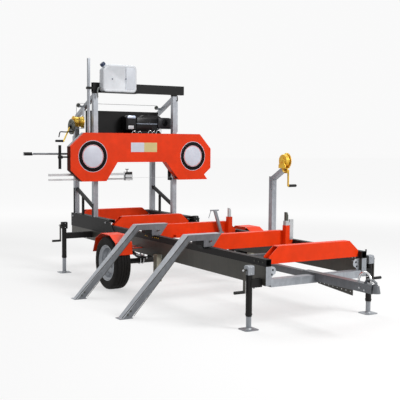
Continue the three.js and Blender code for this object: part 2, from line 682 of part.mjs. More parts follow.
function gussetPlate(side, front) {
  const [top, bottom] = [BEAM_TOP - GUSSET_TOP_DROP, CROSS_BOTTOM + CROSS_TALL + CLEAR];
  const [inner, outer] = [BEAM_INNER - GUSSET_REACH, BEAM_INNER + WELD];
  const slant = GUSSET_REACH * 0.65;
  const outline = [[inner, top], [inner, bottom + slant], [inner + slant, bottom], [outer, bottom], [outer, top]];
  const plate = prism("y", mirrored(outline, side), [front, front + GUSSET_THICK]);
  const holes = [0.3, 0.72].map((share) => pin("y",
    [side * (inner + GUSSET_REACH / 2), bottom + (top - bottom) * share], GUSSET_BOLT / 2,
    [front - OVERRUN, front + GUSSET_THICK + OVERRUN], 8));
  return cut(plate, ...holes);
}

function legStub(side) {
  const centre = [side * (BEAM_OUTER + LEG_STUB_X / 2 - WELD), LEG_STUB_AT_Y];
  const top = BEAM_BOTTOM + LEG_STUB_LAP;
  const span = [top - LEG_STUB_LONG, top];
  return bar("z", centre, [LEG_STUB_X, LEG_STUB_Y], span);
}

function rail(side) {
  return boxTube("y", [side * RAIL_X, (BEAM_TOP + CLEAR + RAIL_TOP) / 2], [BEAM_WIDE, RAIL_TALL - CLEAR],
    [-BEAM_OVERHANG, BEAM_BACK], RAIL_WALL);
}

// Bunk: folded sheet, open below and at its slanted ends
function bunk(front) {
  const low = BUNK_BOTTOM;
  const half = [[BUNK_HALF, low], [BUNK_HALF, low + BUNK_END_TALL], [BUNK_HALF - BUNK_END_INSET, BUNK_TOP]];
  const outline = [...half, ...mirrored(half, -1).reverse()];
  const solid = prism("y", outline, [front, front + BUNK_DEEP]);
  const hollow = box([-BUNK_HALF - OVERRUN, BUNK_HALF + OVERRUN],
    [front + BUNK_WALL, front + BUNK_DEEP - BUNK_WALL], [low - OVERRUN, BUNK_TOP - BUNK_WALL]);
  return cut(solid, hollow);
}

const stopY = (front) => front - STOP_SLEEVE_WALL - STOP_BAR / 2 - CLEAR;

// Sleeve on the bunk's face that a log stop slides in, with a flared foot towards the bunk's end
function stopSleeve(front) {
  const width = STOP_BAR + 2 * CLEAR + 2 * STOP_SLEEVE_WALL;
  const y = stopY(front);
  const [low, high] = [BUNK_BOTTOM + OVERRUN, BUNK_TOP + STOP_SLEEVE_RISE];
  const body = box([STOP_X - width / 2, STOP_X + width / 2], [y - width / 2, front + WELD], [low, high]);
  const flare = prism("y", [[STOP_X, low], [STOP_X + width * 1.5, low], [STOP_X + width * 1.4, low + BUNK_END_TALL],
    [STOP_X + width / 2, high - width / 2], [STOP_X, high - width / 2]], [front - BUNK_WALL, front + WELD]);
  const hole = STOP_BAR + 2 * CLEAR;
  return { body: join(body, flare), hole: bar("z", [STOP_X, y], [hole, hole], [low - OVERRUN, high + OVERRUN]) };
}

function bunkWithStop(front) {
  const sleeve = stopSleeve(front);
  return cut(join(bunk(front), sleeve.body), sleeve.hole);
}

// Rail for the log clamp, held off the bunk's face by a lug at each end
function clampRail(front) {
  const y = front - CLAMP_RAIL_GAP - CLAMP_RAIL / 2;
  const z = CLAMP_RAIL_BOTTOM + CLAMP_RAIL / 2;
  const barSolid = bar("x", [y, z], [CLAMP_RAIL, CLAMP_RAIL], [CLAMP_RAIL_FROM_X, CLAMP_RAIL_TO_X]);
  const lug = BUNK_WALL * 2;
  const lugs = [CLAMP_RAIL_FROM_X, CLAMP_RAIL_TO_X - lug].map((x) =>
    box([x, x + lug], [y, front + WELD], [CLAMP_RAIL_BOTTOM, CLAMP_RAIL_BOTTOM + CLAMP_RAIL]));
  return join(barSolid, ...lugs);
}

function logStop(front, top) {
  const y = stopY(front);
  const blade = bar("z", [STOP_X, y], [STOP_BAR, STOP_BAR], [STOP_BOTTOM, top]);
  const slope = prism("y", [[STOP_X, top + OVERRUN], [STOP_X + STOP_BAR, top + OVERRUN],
    [STOP_X + STOP_BAR, top - STOP_BAR], [STOP_X + STOP_BAR / 2, top - STOP_BAR]], [y - STOP_BAR, y + STOP_BAR]);
  return cut(blade, slope);
}

// The front stop also carries a channel over its sleeve and a flat post beside it
function postedLogStop(front) {
  const y = stopY(front);
  const seat = BUNK_TOP + STOP_SLEEVE_RISE + CLEAR;
  const channelWidth = STOP_BAR * 1.5;
  const channel = bar("z", [STOP_X, y], [channelWidth, channelWidth], [seat, seat + STOP_CAP_TALL * 0.5]);
  const bridge = box([STOP_X, STOP_POST_X], [y - STOP_BAR / 2, y + STOP_BAR / 2], [seat, seat + STOP_BAR]);
  const post = box([STOP_POST_X - STOP_POST_WIDE / 2, STOP_POST_X + STOP_POST_WIDE / 2],
    [y - STOP_BAR / 2, y + STOP_BAR / 4], [STOP_BOTTOM + STOP_BAR, STOP_POST_TOP]);
  return join(logStop(front, STOP_2_TOP), channel, bridge, post);
}

// Clamp: a sleeve on the clamp rail, a leaning channel and a T-handle with its locking lever
function logClamp(front) {
  const y = front - CLAMP_RAIL_GAP - CLAMP_RAIL / 2;
  const z = CLAMP_RAIL_BOTTOM + CLAMP_RAIL / 2;
  const outer = CLAMP_RAIL + 2 * CLEAR + 2 * CLAMP_SLEEVE_WALL;
  const sleeve = boxTube("x", [y, z], [outer, outer],
    [CLAMP_FOOT_X - CLAMP_SLEEVE_LONG / 2, CLAMP_FOOT_X + CLAMP_SLEEVE_LONG / 2], CLAMP_SLEEVE_WALL);
  const foot = z + outer / 2 - WELD;
  const half = CLAMP_BAR_WIDE / 2;
  const ySpan = [y - half, y + half - CLAMP_SLEEVE_WALL];
  const leaning = prism("y", [[CLAMP_FOOT_X - half, foot], [CLAMP_FOOT_X + half, foot],
    [CLAMP_HEAD_X + half, CLAMP_TOP], [CLAMP_HEAD_X - half, CLAMP_TOP]], ySpan);
  const handle = pin("x", [y, CLAMP_TOP - CLAMP_HANDLE_R / 2], CLAMP_HANDLE_R,
    [CLAMP_HEAD_X - CLAMP_HANDLE_LONG / 2, CLAMP_HEAD_X + CLAMP_HANDLE_LONG / 2], 12);
  const leverTop = [CLAMP_HEAD_X - CLAMP_HANDLE_LONG / 2 + CLAMP_HANDLE_R, y, CLAMP_TOP - CLAMP_HANDLE_R / 2];
  const lever = rod(leverTop, [leverTop[0] - CLAMP_HANDLE_R * 4, y, leverTop[2] - CLAMP_HANDLE_LONG * 0.8],
    CLAMP_LEVER_R, 8);
  return join(sleeve, leaning, handle, lever);
}

// Front cross tube, notched for the drawbar sleeve that runs through it
function frontCrossTube() {
  const reach = BEAM_INNER - CLEAR;
  const z = CROSS_BOTTOM + CROSS_TALL / 2;
  const middle = CROSS_DEEP / 2 - BEAM_OVERHANG;
  const tube = boxTube("x", [middle, z], [CROSS_DEEP, CROSS_TALL], [-reach, reach], CROSS_WALL);
  const notch = SLEEVE_OUTER / 2 + CLEAR;
  const bottom = DRAWBAR_Z - notch;
  const saddle = box([-notch, notch], [middle - CROSS_DEEP, middle + CROSS_DEEP],
    [bottom, CROSS_BOTTOM + CROSS_TALL + OVERRUN]);
  return cut(tube, saddle);
}

// The fixed inner tube of the drawbar, welded to the cross tube behind it
function innerDrawbar() {
  const reach = BEAM_INNER - CLEAR;
  const cross = boxTube("x", [MID_CROSS_Y + CROSS_DEEP / 2, DRAWBAR_Z], [CROSS_DEEP, CROSS_TALL], [-reach, reach],
    CROSS_WALL);
  const tube = boxTube("y", [0, DRAWBAR_Z], [INNER_BAR, INNER_BAR], [INNER_BAR_FRONT, MID_CROSS_Y + WELD],
    INNER_BAR_WALL);
  return join(cross, tube);
}

// Sliding sleeve with its drilled plate, ball coupler and latch
function drawbarSleeve() {
  const tube = boxTube("y", [0, DRAWBAR_Z], [SLEEVE_OUTER, SLEEVE_OUTER], [SLEEVE_FRONT, SLEEVE_BACK], SLEEVE_WALL);
  const under = DRAWBAR_Z - SLEEVE_OUTER / 2;
  const back = -BEAM_OVERHANG - HITCH_PLATE_THICK;
  const front = back - HITCH_PLATE_LONG;
  const plate = prism("x", [[front, under + WELD], [front, under - HITCH_PLATE_FRONT_DROP],
    [back, under - HITCH_PLATE_BACK_DROP], [back, under + WELD]], [-HITCH_PLATE_THICK / 2, HITCH_PLATE_THICK / 2]);
  const holes = Array.from({ length: HITCH_HOLES }, (_, i) => {
    const share = (i + 0.5) / HITCH_HOLES;
    const drop = HITCH_PLATE_FRONT_DROP + (HITCH_PLATE_BACK_DROP - HITCH_PLATE_FRONT_DROP) * share;
    return pin("x", [front + (back - front) * share, under - drop / 2], HITCH_HOLE / 2,
      [-HITCH_PLATE_THICK, HITCH_PLATE_THICK], 8);
  });
  return join(cut(join(tube, plate), ...holes), ballCoupler(), latch());
}

function ballCoupler() {
  const y = SLEEVE_FRONT - BALL_HOUSING_R / 2;
  const [low, high] = [DRAWBAR_Z - BALL_HOUSING_TALL / 2, DRAWBAR_Z + BALL_HOUSING_TALL / 2];
  const housing = rod([0, y, low], [0, y, high], BALL_HOUSING_R, ROUND_SIDES, BALL_HOUSING_R * 0.72);
  const socket = new THREE.SphereGeometry(BALL_SOCKET_R, 12, 6);
  socket.translate(0, y, low + BALL_SOCKET_R * 0.7);
  const neck = box([-BALL_SOCKET_R, BALL_SOCKET_R], [y, SLEEVE_FRONT + WELD],
    [DRAWBAR_Z - BALL_SOCKET_R, DRAWBAR_Z + BALL_SOCKET_R]);
  const mouth = rod([0, y, low - OVERRUN], [0, y, low + BALL_SOCKET_R * 0.7], BALL_SOCKET_R, 16);
  return cut(join(housing, neck), solidFrom(socket), mouth);
}

// Lifting latch over the coupler: a bent strap
function latch() {
  const y = SLEEVE_FRONT - BALL_HOUSING_R / 2;
  const high = DRAWBAR_Z + SLEEVE_OUTER / 2;
  const rise = BALL_HOUSING_R * 1.1;
  const outer = [[y, high - BALL_HOUSING_R / 4], [y, high + rise / 2], [y + rise, high + rise],
    [y + rise * 2.6, high + rise], [y + rise * 3.4, high - WELD]];
  const strap = LATCH_THICK;
  const inner = [[y + rise * 3.4 - strap * 1.6, high - WELD], [y + rise * 2.6 - strap / 2, high + rise - strap],
    [y + rise + strap / 2, high + rise - strap], [y + strap, high + rise / 2 - strap / 2],
    [y + strap, high - BALL_HOUSING_R / 4]];
  return prism("x", [...outer, ...inner], [-BALL_SOCKET_R / 2, BALL_SOCKET_R / 2]);
}

// Axle with its spindles and the leaf springs clamped on it
function axle() {
  const hubInner = WHEEL_X - HUB_IN;
  const tube = pin("x", [WHEEL_Y, TYRE_R], AXLE_R, [-hubInner + CLEAR, hubInner - CLEAR]);
  const spindle = pin("x", [WHEEL_Y, TYRE_R], SPINDLE_R, [-WHEEL_X - SPINDLE_R * 3, WHEEL_X + SPINDLE_R * 3]);
  return join(tube, spindle, ...Object.values(SIDES).map(leafSpring));
}

// Leaf pack: each leaf shorter than the one above it, curved up to its hangers under the beam
function leafSpring(side) {
  const seat = TYRE_R + AXLE_R - WELD;
  const leaves = Array.from({ length: LEAF_COUNT }, (_, i) => {
    const reach = SPRING_HALF * (i + 1) / LEAF_COUNT;
    const low = seat + i * (LEAF_THICK - WELD / LEAF_COUNT);
  const stations = [-1, -0.6, -0.25, 0, 0.25, 0.6, 1];
    const curve = stations.map((t) => [WHEEL_Y + reach * t, low + SPRING_RISE * (reach * t / SPRING_HALF) ** 2]);
    const outline = [...curve, ...curve.map(([y, z]) => [y, z + LEAF_THICK]).reverse()];
    return prism("x", outline, [side * (RAIL_X - SPRING_WIDE / 2), side * (RAIL_X + SPRING_WIDE / 2)]);
  });
  const hangers = [-1, 1].map((end) => {
    const y = WHEEL_Y + end * (SPRING_HALF - HANGER_LONG / 2);
    return box([side * (RAIL_X - SPRING_WIDE / 2), side * (RAIL_X + SPRING_WIDE / 2)],
      [y - HANGER_LONG / 2, y + HANGER_LONG / 2], [seat + SPRING_RISE + LEAF_THICK, BEAM_BOTTOM - CLEAR]);
  });
  return join(...leaves, ...hangers);
}

// Road wheel: pressed rim, hub and tyre turned about the axle; the profile runs from the axle side to the outer face
function roadWheel(side) {
  const half = TYRE_WIDE / 2;
  const bore = SPINDLE_R + CLEAR;
  const tread = half * 0.7;
  const profile = [[bore, -HUB_IN], [HUB_R, -HUB_IN], [HUB_R, half * 0.09], [RIM_R * 0.83, half * 0.16],
    [RIM_R * 0.83, -half * 0.45], [RIM_R, -half * 0.93], [RIM_R * 1.25, -half], [TYRE_R * 0.94, -half * 0.93],
    [TYRE_R, -tread], [TYRE_R, tread], [TYRE_R * 0.94, half * 0.93], [RIM_R * 1.25, half], [RIM_R, half * 0.93],
    [RIM_R * 0.78, half * 0.34], [HUB_R, half * 0.27], [HUB_R, HUB_OUT], [bore, HUB_OUT]];
  return turned("x", [side * WHEEL_X, WHEEL_Y, TYRE_R], profile.map(([r, t]) => [r, side * t]), 24);
}

// Mudguard: five folds of sheet over the tyre, a skirt on its inner edge and two arms to the beam
function mudguard(side) {
  const top = TYRE_R + FENDER_TOP_RISE;
  const pointShares = [[-FENDER_FRONT_SHARE, 0.36], [-0.85, 0.78], [-0.385, 1], [0.32, 1], [0.76, 0.79], [1, 0.28]];
  const outer = pointShares.map(([a, b]) => [WHEEL_Y + a * FENDER_HALF, TYRE_R + b * FENDER_TOP_RISE]);
  const past = (p, q) => [p[0] + (q[0] - p[0]) * 1.5, p[1] + (q[1] - p[1]) * 1.5];
  const longer = [past(outer[1], outer[0]), ...outer.slice(1, -1), past(outer.at(-2), outer.at(-1))];
  const half = FENDER_WIDE / 2;
  const xSpan = [side * (WHEEL_X - half), side * (WHEEL_X + half)];
  const shell = cut(prism("x", [...outer].reverse(), xSpan), prism("x", inset([...longer].reverse(), FENDER_SHEET),
    [xSpan[0] - side * OVERRUN, xSpan[1] + side * OVERRUN]));
  const skirtBottom = BEAM_BOTTOM + BEAM_WIDE;
  const skirt = box([xSpan[0], xSpan[0] - side * FENDER_SHEET], [WHEEL_Y - FENDER_HALF * 0.35,
    WHEEL_Y + FENDER_HALF * 0.35], [skirtBottom, top]);
  const weld = box([xSpan[0] + side * WELD, xSpan[0] - side * FENDER_SHEET], [WHEEL_Y - FENDER_HALF * 0.35,
    WHEEL_Y + FENDER_HALF * 0.35], [top - FENDER_SHEET, top]);
  const arms = [-1, 1].map((end) => {
    const y = WHEEL_Y + end * FENDER_HALF * 0.24;
    return box([side * (BEAM_OUTER + CLEAR), xSpan[0] - side * WELD], [y - FENDER_ARM_WIDE / 2,
      y + FENDER_ARM_WIDE / 2], [skirtBottom, skirtBottom + FENDER_ARM]);
  });
  return join(shell, skirt, weld, ...arms);
}

// Jacks: where each stands and how high its tube sits
const JACKS = Object.entries(SIDES).flatMap(([name, side]) => [
  { name: `front_${name}`, side, x: BEAM_OUTER + JACK_FRONT_OUT, y: JACK_FRONT_Y, raise: 0, armRaise: 0 },
  { name: `rear_${name}`, side, x: BEAM_OUTER + JACK_REAR_OUT, y: JACK_REAR_Y, raise: JACK_REAR_RAISE,
    armRaise: JACK_ARM_REAR_RAISE },
]);

const crankZ = (jack) => JACK_CAP_BOTTOM + jack.raise + JACK_CAP_TALL / 2;

function jackBody(jack) {
  const { side, x, y } = jack;
  const armZ = JACK_ARM_BOTTOM + jack.armRaise + JACK_ARM / 2;
  const arm = bar("x", [y, armZ], [JACK_ARM, JACK_ARM], [side * (BEAM_OUTER + CLEAR), side * x]);
  const [low, high] = [JACK_TUBE_BOTTOM + jack.raise, JACK_CAP_BOTTOM + jack.raise];
  const tube = pin("z", [side * x, y], JACK_TUBE_R, [low, high + WELD]);
  const half = JACK_CAP_WIDE / 2;
  const top = high + JACK_CAP_TALL;
  const bevel = JACK_CAP_WIDE * 0.15;
  const cap = prism("x", [[y - half, high], [y + half, high], [y + half, top - bevel], [y + half - bevel, top],
    [y - half + bevel, top], [y - half, top - bevel]], [side * (x - half), side * (x + half)]);
  const bore = pin("z", [side * x, y], JACK_TUBE_R - JACK_TUBE_WALL, [low - OVERRUN, high]);
  const shaftHole = pin("x", [y, crankZ(jack)], CRANK_SHAFT_R + CLEAR, [side * x, side * (x + half + OVERRUN)], 12);
  return cut(join(arm, tube, cap), bore, shaftHole);
}

function jackLeg(jack) {
  const { side, x, y } = jack;
  const radius = JACK_TUBE_R - JACK_TUBE_WALL - CLEAR;
  const top = JACK_TUBE_BOTTOM + jack.raise + JACK_LEG_INSIDE;
  const half = JACK_FOOT / 2;
  const corner = JACK_FOOT * 0.12;
  const octagon = [[half, half - corner], [half - corner, half], [corner - half, half], [-half, half - corner],
    [-half, corner - half], [corner - half, -half], [half - corner, -half], [half, corner - half]];
  const foot = prism("z", octagon.map(([a, b]) => [side * x + a, y + b]), [0, JACK_FOOT_THICK]);
  const tube = pin("z", [side * x, y], radius, [JACK_FOOT_THICK - WELD, top]);
  const hollow = pin("z", [side * x, y], radius - JACK_LEG_WALL, [JACK_FOOT_THICK * 2, top + OVERRUN]);
  return cut(join(foot, tube), hollow);
}

function jackCrank(jack) {
  const { side, x, y } = jack;
  const face = x + JACK_CAP_WIDE / 2;
  const z = crankZ(jack);
  const armAt = face + CRANK_ARM_THICK;
  const shaft = pin("x", [y, z], CRANK_SHAFT_R, [side * (face - JACK_CAP_WIDE * 0.4), side * (armAt + WELD)], 12);
  const arm = box([side * armAt, side * (armAt + CRANK_ARM_THICK)], [y - CRANK_ARM_WIDE / 2, y + CRANK_ARM_WIDE / 2],
    [z - CRANK_ARM_LONG - CRANK_ARM_WIDE / 2, z + CRANK_ARM_WIDE / 2]);
  const gripFrom = armAt + CRANK_ARM_THICK - WELD;
  const grip = pin("x", [y, z - CRANK_ARM_LONG], CRANK_GRIP_R, [side * gripFrom, side * (gripFrom + CRANK_GRIP_LONG)],
    12);
  return join(shaft, arm, grip);
}

// Ramp: a folded channel open below, kneed over the rail, with a flat shoe on the ground
function ramp(front) {
  const middle = front - RAMP_AHEAD + RAMP_WIDE / 2;
  const run = [RAMP_KNEE_X - RAMP_FOOT_X, RAMP_TOP];
  const length = Math.hypot(...run);
  const along = [run[0] / length, run[1] / length];
  const under = [along[1], -along[0]];
  const ground = RAMP_SHOE_THICK;
  const lineAt = (offset, z) => {
    const start = [RAMP_KNEE_X + under[0] * offset, RAMP_TOP + under[1] * offset];
    return [start[0] + (z - start[1]) * along[0] / along[1], z];
  };
  const rest = RAIL_TOP + CLEAR;
  const armUnder = RAMP_TOP - RAMP_DEEP;
  const outline = [lineAt(0, ground - WELD), [RAMP_KNEE_X, RAMP_TOP], [RAMP_HOOK_X, RAMP_TOP],
    [RAMP_HOOK_HEEL_X, rest], [RAMP_PLATE_X, rest], [RAMP_PLATE_X, armUnder], lineAt(RAMP_DEEP, armUnder),
    lineAt(RAMP_DEEP, ground - WELD)];
  const half = RAMP_WIDE / 2;
  const skin = RAMP_TOP - RAMP_WALL;
  const hollow = [lineAt(RAMP_WALL, -OVERRUN), lineAt(RAMP_WALL, skin), [RAMP_HOOK_X + OVERRUN, skin],
    [RAMP_HOOK_X + OVERRUN, -OVERRUN]];
  const channel = cut(prism("y", outline, [middle - half, middle + half]),
    prism("y", hollow, [middle - half + RAMP_WALL, middle + half - RAMP_WALL]));
  const toe = lineAt(0, ground)[0] - RAMP_SHOE_LONG * 0.25;
  const shoe = box([toe, toe + RAMP_SHOE_LONG], [middle - half, middle + half], [0, RAMP_SHOE_THICK]);
  const hole = pin("y", [RAMP_HOOK_HEEL_X - RAMP_BOLT * 1.3, (rest + RAMP_TOP) / 2 - RAMP_BOLT / 2], RAMP_BOLT / 2,
    [middle - half - OVERRUN, middle + half + OVERRUN], 12);
  return cut(join(channel, shoe), hole);
}

// Log winch: post bolted to the beam, leaning arm and the winch's folded frame
const LOG_FRAME_X = BEAM_OUTER + CLEAR + WINCH_POST / 2;
const LOG_CRANK_Z = LOG_DRUM_Z - LOG_CRANK_DROP;

function winchPost() {
  const x = LOG_FRAME_X;
  const post = boxTube("z", [x, WINCH_POST_Y], [WINCH_POST, WINCH_POST], [WINCH_POST_FOOT, WINCH_POST_TOP],
    WINCH_POST_WALL);
  const half = WINCH_POST / 2;
  const arm = strut([WINCH_POST_Y, WINCH_POST_TOP - half], [WINCH_ARM_END_Y, WINCH_ARM_END_Z - half * 0.6],
    WINCH_POST * 0.75, [x - half + WELD, x + half - WELD]);
  const frameHalf = LOG_FRAME_WIDE / 2;
  const base = box([x - frameHalf, x + frameHalf], [WINCH_ARM_END_Y - LOG_FLANGE_R, WINCH_ARM_END_Y + LOG_FLANGE_R],
    [WINCH_ARM_END_Z - WINCH_SHEET, WINCH_ARM_END_Z]);
  const cheekOutline = [[-LOG_FLANGE_R, 0], [LOG_FLANGE_R, 0], [LOG_FLANGE_R, 0.4], [0.3 * LOG_FLANGE_R, 1.5],
    [-0.3 * LOG_FLANGE_R, 1.5], [-LOG_FLANGE_R, 0.4]];
  const rise = LOG_DRUM_Z - WINCH_ARM_END_Z;
  const cheek = cheekOutline.map(([y, share]) => [WINCH_ARM_END_Y + y, WINCH_ARM_END_Z - WINCH_SHEET + share * rise]);
  const cheeks = [[x - frameHalf, x - frameHalf + WINCH_SHEET], [x + frameHalf - WINCH_SHEET, x + frameHalf]].map(
    (span) => prism("x", cheek, span));
  const ear = box([x + frameHalf - WINCH_SHEET, x + frameHalf], [WINCH_ARM_END_Y - LOG_DRUM_R,
    WINCH_ARM_END_Y + LOG_DRUM_R], [LOG_CRANK_Z - LOG_DRUM_R, WINCH_ARM_END_Z]);
  const drumHole = pin("x", [WINCH_ARM_END_Y, LOG_DRUM_Z], WINCH_SHAFT_R + CLEAR,
    [x - frameHalf - OVERRUN, x + frameHalf + OVERRUN], 12);
  const crankHole = pin("x", [WINCH_ARM_END_Y, LOG_CRANK_Z], WINCH_SHAFT_R + CLEAR,
    [x, x + frameHalf + OVERRUN], 12);
  return cut(join(post, arm, base, ...cheeks, ear, stowedHook()), drumHole, crankHole);
}

// The winch cord's end and hook, stowed against the post
function stowedHook() {
  const x = BEAM_OUTER - HOOK_CORD_R;
  const top = WINCH_POST_TOP - HOOK_CORD_R * 4;
  const eye = top - HOOK_DROP;
  const cord = rod([x + WELD, WINCH_POST_Y, eye], [x + WELD, WINCH_POST_Y, top], HOOK_CORD_R, 8);
  const root = box([x, LOG_FRAME_X - WINCH_POST / 2 + WELD], [WINCH_POST_Y - HOOK_CORD_R, WINCH_POST_Y + HOOK_CORD_R],
    [top - HOOK_CORD_R * 2, top]);
  const bend = Array.from({ length: 9 }, (_, i) => {
    const angle = Math.PI * (i / 8) * 1.25;
    return new THREE.Vector3(x + WELD, WINCH_POST_Y - HOOK_CORD_R * 3 * (1 - Math.cos(angle)),
      eye - HOOK_CORD_R * 3 * Math.sin(angle) * 1.6);
  });
  const section = new THREE.Shape(Array.from({ length: 6 }, (_, i) => new THREE.Vector2(
    HOOK_CORD_R * 0.9 * Math.cos(Math.PI * i / 3), HOOK_CORD_R * 0.9 * Math.sin(Math.PI * i / 3))));
  const hook = new THREE.ExtrudeGeometry(section, { steps: 12, extrudePath: new THREE.CatmullRomCurve3(bend) });
  return join(cord, root, solidFrom(hook));
}

function logWinchDrum() {
  const x = LOG_FRAME_X;
  const inner = LOG_FRAME_WIDE / 2 - WINCH_SHEET - CLEAR;
  const gearFrom = x + LOG_FRAME_WIDE / 2 + CLEAR;
  const centre = [WINCH_ARM_END_Y, LOG_DRUM_Z];
  const flange = WINCH_SHEET * 0.6;
  return join(
    pin("x", centre, LOG_DRUM_R, [x - inner, x + inner]),
    pin("x", centre, LOG_FLANGE_R, [x - inner, x - inner + flange], 20),
    pin("x", centre, LOG_FLANGE_R, [x + inner - flange, x + inner], 20),
    pin("x", centre, WINCH_SHAFT_R, [x - LOG_FRAME_WIDE / 2 - WINCH_SHEET, gearFrom + LOG_GEAR_THICK * 2], 12),
    gearWheel(centre, LOG_GEAR_TEETH, LOG_GEAR_MODULE, [gearFrom, gearFrom + LOG_GEAR_THICK], -Math.PI / 2));
}

// Spur gear teeth: root, flank and tip of each tooth, the first one pointing in the given direction
const toothShares = [[-0.27, -1.2], [-0.1, 1], [0.1, 1], [0.27, -1.2]];

function gear(centre, teeth, module, span, direction) {
  const pitchR = (module * teeth) / 2;
  const outline = Array.from({ length: teeth }, (_, i) => toothShares.map(([along, out]) => {
    const angle = direction + (2 * Math.PI * (i + along)) / teeth;
    const reach = pitchR + out * module;
    return [centre[0] + reach * Math.cos(angle), centre[1] + reach * Math.sin(angle)];
  })).flat();
  return prism("x", outline, span);
}

// Large gear wheel with round lightening holes
function gearWheel(centre, teeth, module, span, direction) {
  const rootR = module * (teeth / 2 - 1.2);
  const holes = Array.from({ length: 6 }, (_, i) => {
    const angle = (Math.PI * i) / 3;
    return pin("x", [centre[0] + rootR * 0.64 * Math.cos(angle), centre[1] + rootR * 0.64 * Math.sin(angle)],
      rootR * 0.18, [span[0] - OVERRUN, span[1] + OVERRUN], 8);
  });
  return cut(gear(centre, teeth, module, span, direction), ...holes);
}

function logWinchCrank() {
  const x = LOG_FRAME_X + LOG_FRAME_WIDE / 2;
  const y = WINCH_ARM_END_Y;
  const gearTo = x + CLEAR + LOG_GEAR_THICK;
  const armFrom = gearTo + LOG_GEAR_THICK * 2;
  const shaft = pin("x", [y, LOG_CRANK_Z], WINCH_SHAFT_R, [x - WINCH_SHEET - OVERRUN, armFrom + WELD], 12);
  const pinion = gear([y, LOG_CRANK_Z], LOG_PINION_TEETH, LOG_GEAR_MODULE, [x + CLEAR, gearTo + CLEAR + WELD],
    Math.PI / 2 + Math.PI / LOG_PINION_TEETH);
  const collar = pin("x", [y, LOG_CRANK_Z], WINCH_SHAFT_R * 1.6, [gearTo + CLEAR, armFrom], 12);
  const arm = box([armFrom, armFrom + LOG_GEAR_THICK], [y - WINCH_SHAFT_R * 1.6, y + WINCH_SHAFT_R * 1.6],
    [LOG_CRANK_Z - LOG_CRANK_LONG - WINCH_SHAFT_R, LOG_CRANK_Z + WINCH_SHAFT_R * 1.6]);
  const gripFrom = armFrom + LOG_GEAR_THICK - WELD;
  const grip = pin("x", [y, LOG_CRANK_Z - LOG_CRANK_LONG], CRANK_GRIP_R, [gripFrom, gripFrom + LIFT_GRIP_LONG], 12);
  return join(shaft, pinion, collar, arm, grip);
}

// Carriage sole: a cap over the rail with a deep outer skirt, roller pins and the black lower braces
const SOLE_OUTER_X = BEAM_OUTER + SOLE_OUTER_GAP;
const ROLLER_Z = RAIL_TOP + CLEAR + ROLLER_R;

function sole(side) {
  const outer = SOLE_OUTER_X + SOLE_SHEET;
  const top = box([side * SOLE_INNER_X, side * outer], [SOLE_FRONT, SOLE_BACK], [SOLE_TOP - SOLE_SHEET, SOLE_TOP]);
  const lip = box([side * SOLE_INNER_X, side * (SOLE_INNER_X + SOLE_SHEET)], [SOLE_FRONT, SOLE_BACK],
    [SOLE_TOP - SOLE_LIP_TALL, SOLE_TOP]);
  const skirt = prism("x", [[SOLE_FRONT, SOLE_TOP], [SOLE_FRONT - SOLE_NOSE, SOLE_SKIRT_BOTTOM + SOLE_NOSE_TALL],
    [SOLE_FRONT - SOLE_NOSE, SOLE_SKIRT_BOTTOM], [SOLE_BACK, SOLE_SKIRT_BOTTOM], [SOLE_BACK, SOLE_TOP]],
  [side * SOLE_OUTER_X, side * outer]);
  const pins = [ROLLER_FRONT_Y, ROLLER_REAR_Y].map((y) => pin("x", [y, ROLLER_Z], ROLLER_PIN_R,
    [side * (SOLE_INNER_X + SOLE_SHEET / 2), side * (SOLE_OUTER_X + WELD)], 10));
  const half = POST / 2 + CLEAR;
  const braceX = [side * (POST_X - POST / 4), side * (POST_X + POST / 4)];
  const slope = (LOW_BRACE_HIGH - LOW_BRACE_LOW) / (REAR_POST_Y - FRONT_POST_Y - 2 * half);
  const brace = strut([FRONT_POST_Y + half, LOW_BRACE_LOW], [REAR_POST_Y - half, LOW_BRACE_HIGH], LOW_BRACE_TALL,
    braceX);
  const trimmed = cut(brace, box(braceX, [FRONT_POST_Y - POST, FRONT_POST_Y + half], [0, LOW_BRACE_HIGH]),
    box(braceX, [REAR_POST_Y - half, REAR_POST_Y + POST], [0, LOW_BRACE_HIGH + LOW_BRACE_TALL]));
  const stayTop = LOW_BRACE_LOW + slope * (BRACE_STAY_Y - FRONT_POST_Y - half);
  const stay = box(braceX, [BRACE_STAY_Y - LOW_BRACE_TALL / 4, BRACE_STAY_Y + LOW_BRACE_TALL / 4],
    [SOLE_TOP - WELD, stayTop]);
  const strips = [[FRONT_POST_Y, POST_STRIP_TALL / 2], [REAR_POST_Y, POST_STRIP_TALL]].map(([y, tall]) => join(
    box([side * (POST_X + half), side * (POST_X + half + SOLE_SHEET)], [y - POST / 4, y + POST / 4],
      [SOLE_TOP - SOLE_SHEET, SOLE_TOP + tall]),
    box([side * (outer - WELD), side * (POST_X + half + SOLE_SHEET)], [y - POST / 4, y + POST / 4],
      [SOLE_TOP - SOLE_SHEET, SOLE_TOP])));
  return join(top, lip, skirt, ...pins, trimmed, stay, ...strips);
}

function roller(side, y) {
  const half = ROLLER_WIDE / 2;
  const bore = ROLLER_PIN_R + CLEAR;
  const crown = ROLLER_R * 0.97;
  return turned("x", [side * RAIL_X, y, ROLLER_Z], [[bore, -half], [crown, -half], [ROLLER_R, -half * 0.8],
    [ROLLER_R, half * 0.8], [crown, half], [bore, half]], 14);
}

// One side of the carriage: front and rear posts with the sloping brace between their tops
function postFrame(side) {
  const foot = SOLE_TOP + CLEAR;
  const section = [POST, POST];
  const front = boxTube("z", [side * POST_X, FRONT_POST_Y], section, [foot, FRONT_POST_TOP], POST_WALL);
  const rear = boxTube("z", [side * POST_X, REAR_POST_Y], section, [foot, REAR_POST_TOP], POST_WALL);
  const grip = POST / 2 - WELD;
  const brace = strut([FRONT_POST_Y + grip, braceZ(FRONT_POST_Y + grip)], [REAR_POST_Y - grip,
    braceZ(REAR_POST_Y - grip)], BRACE_TALL, [side * (POST_X - POST * 0.4), side * (POST_X + POST * 0.4)]);
  return join(front, rear, brace);
}

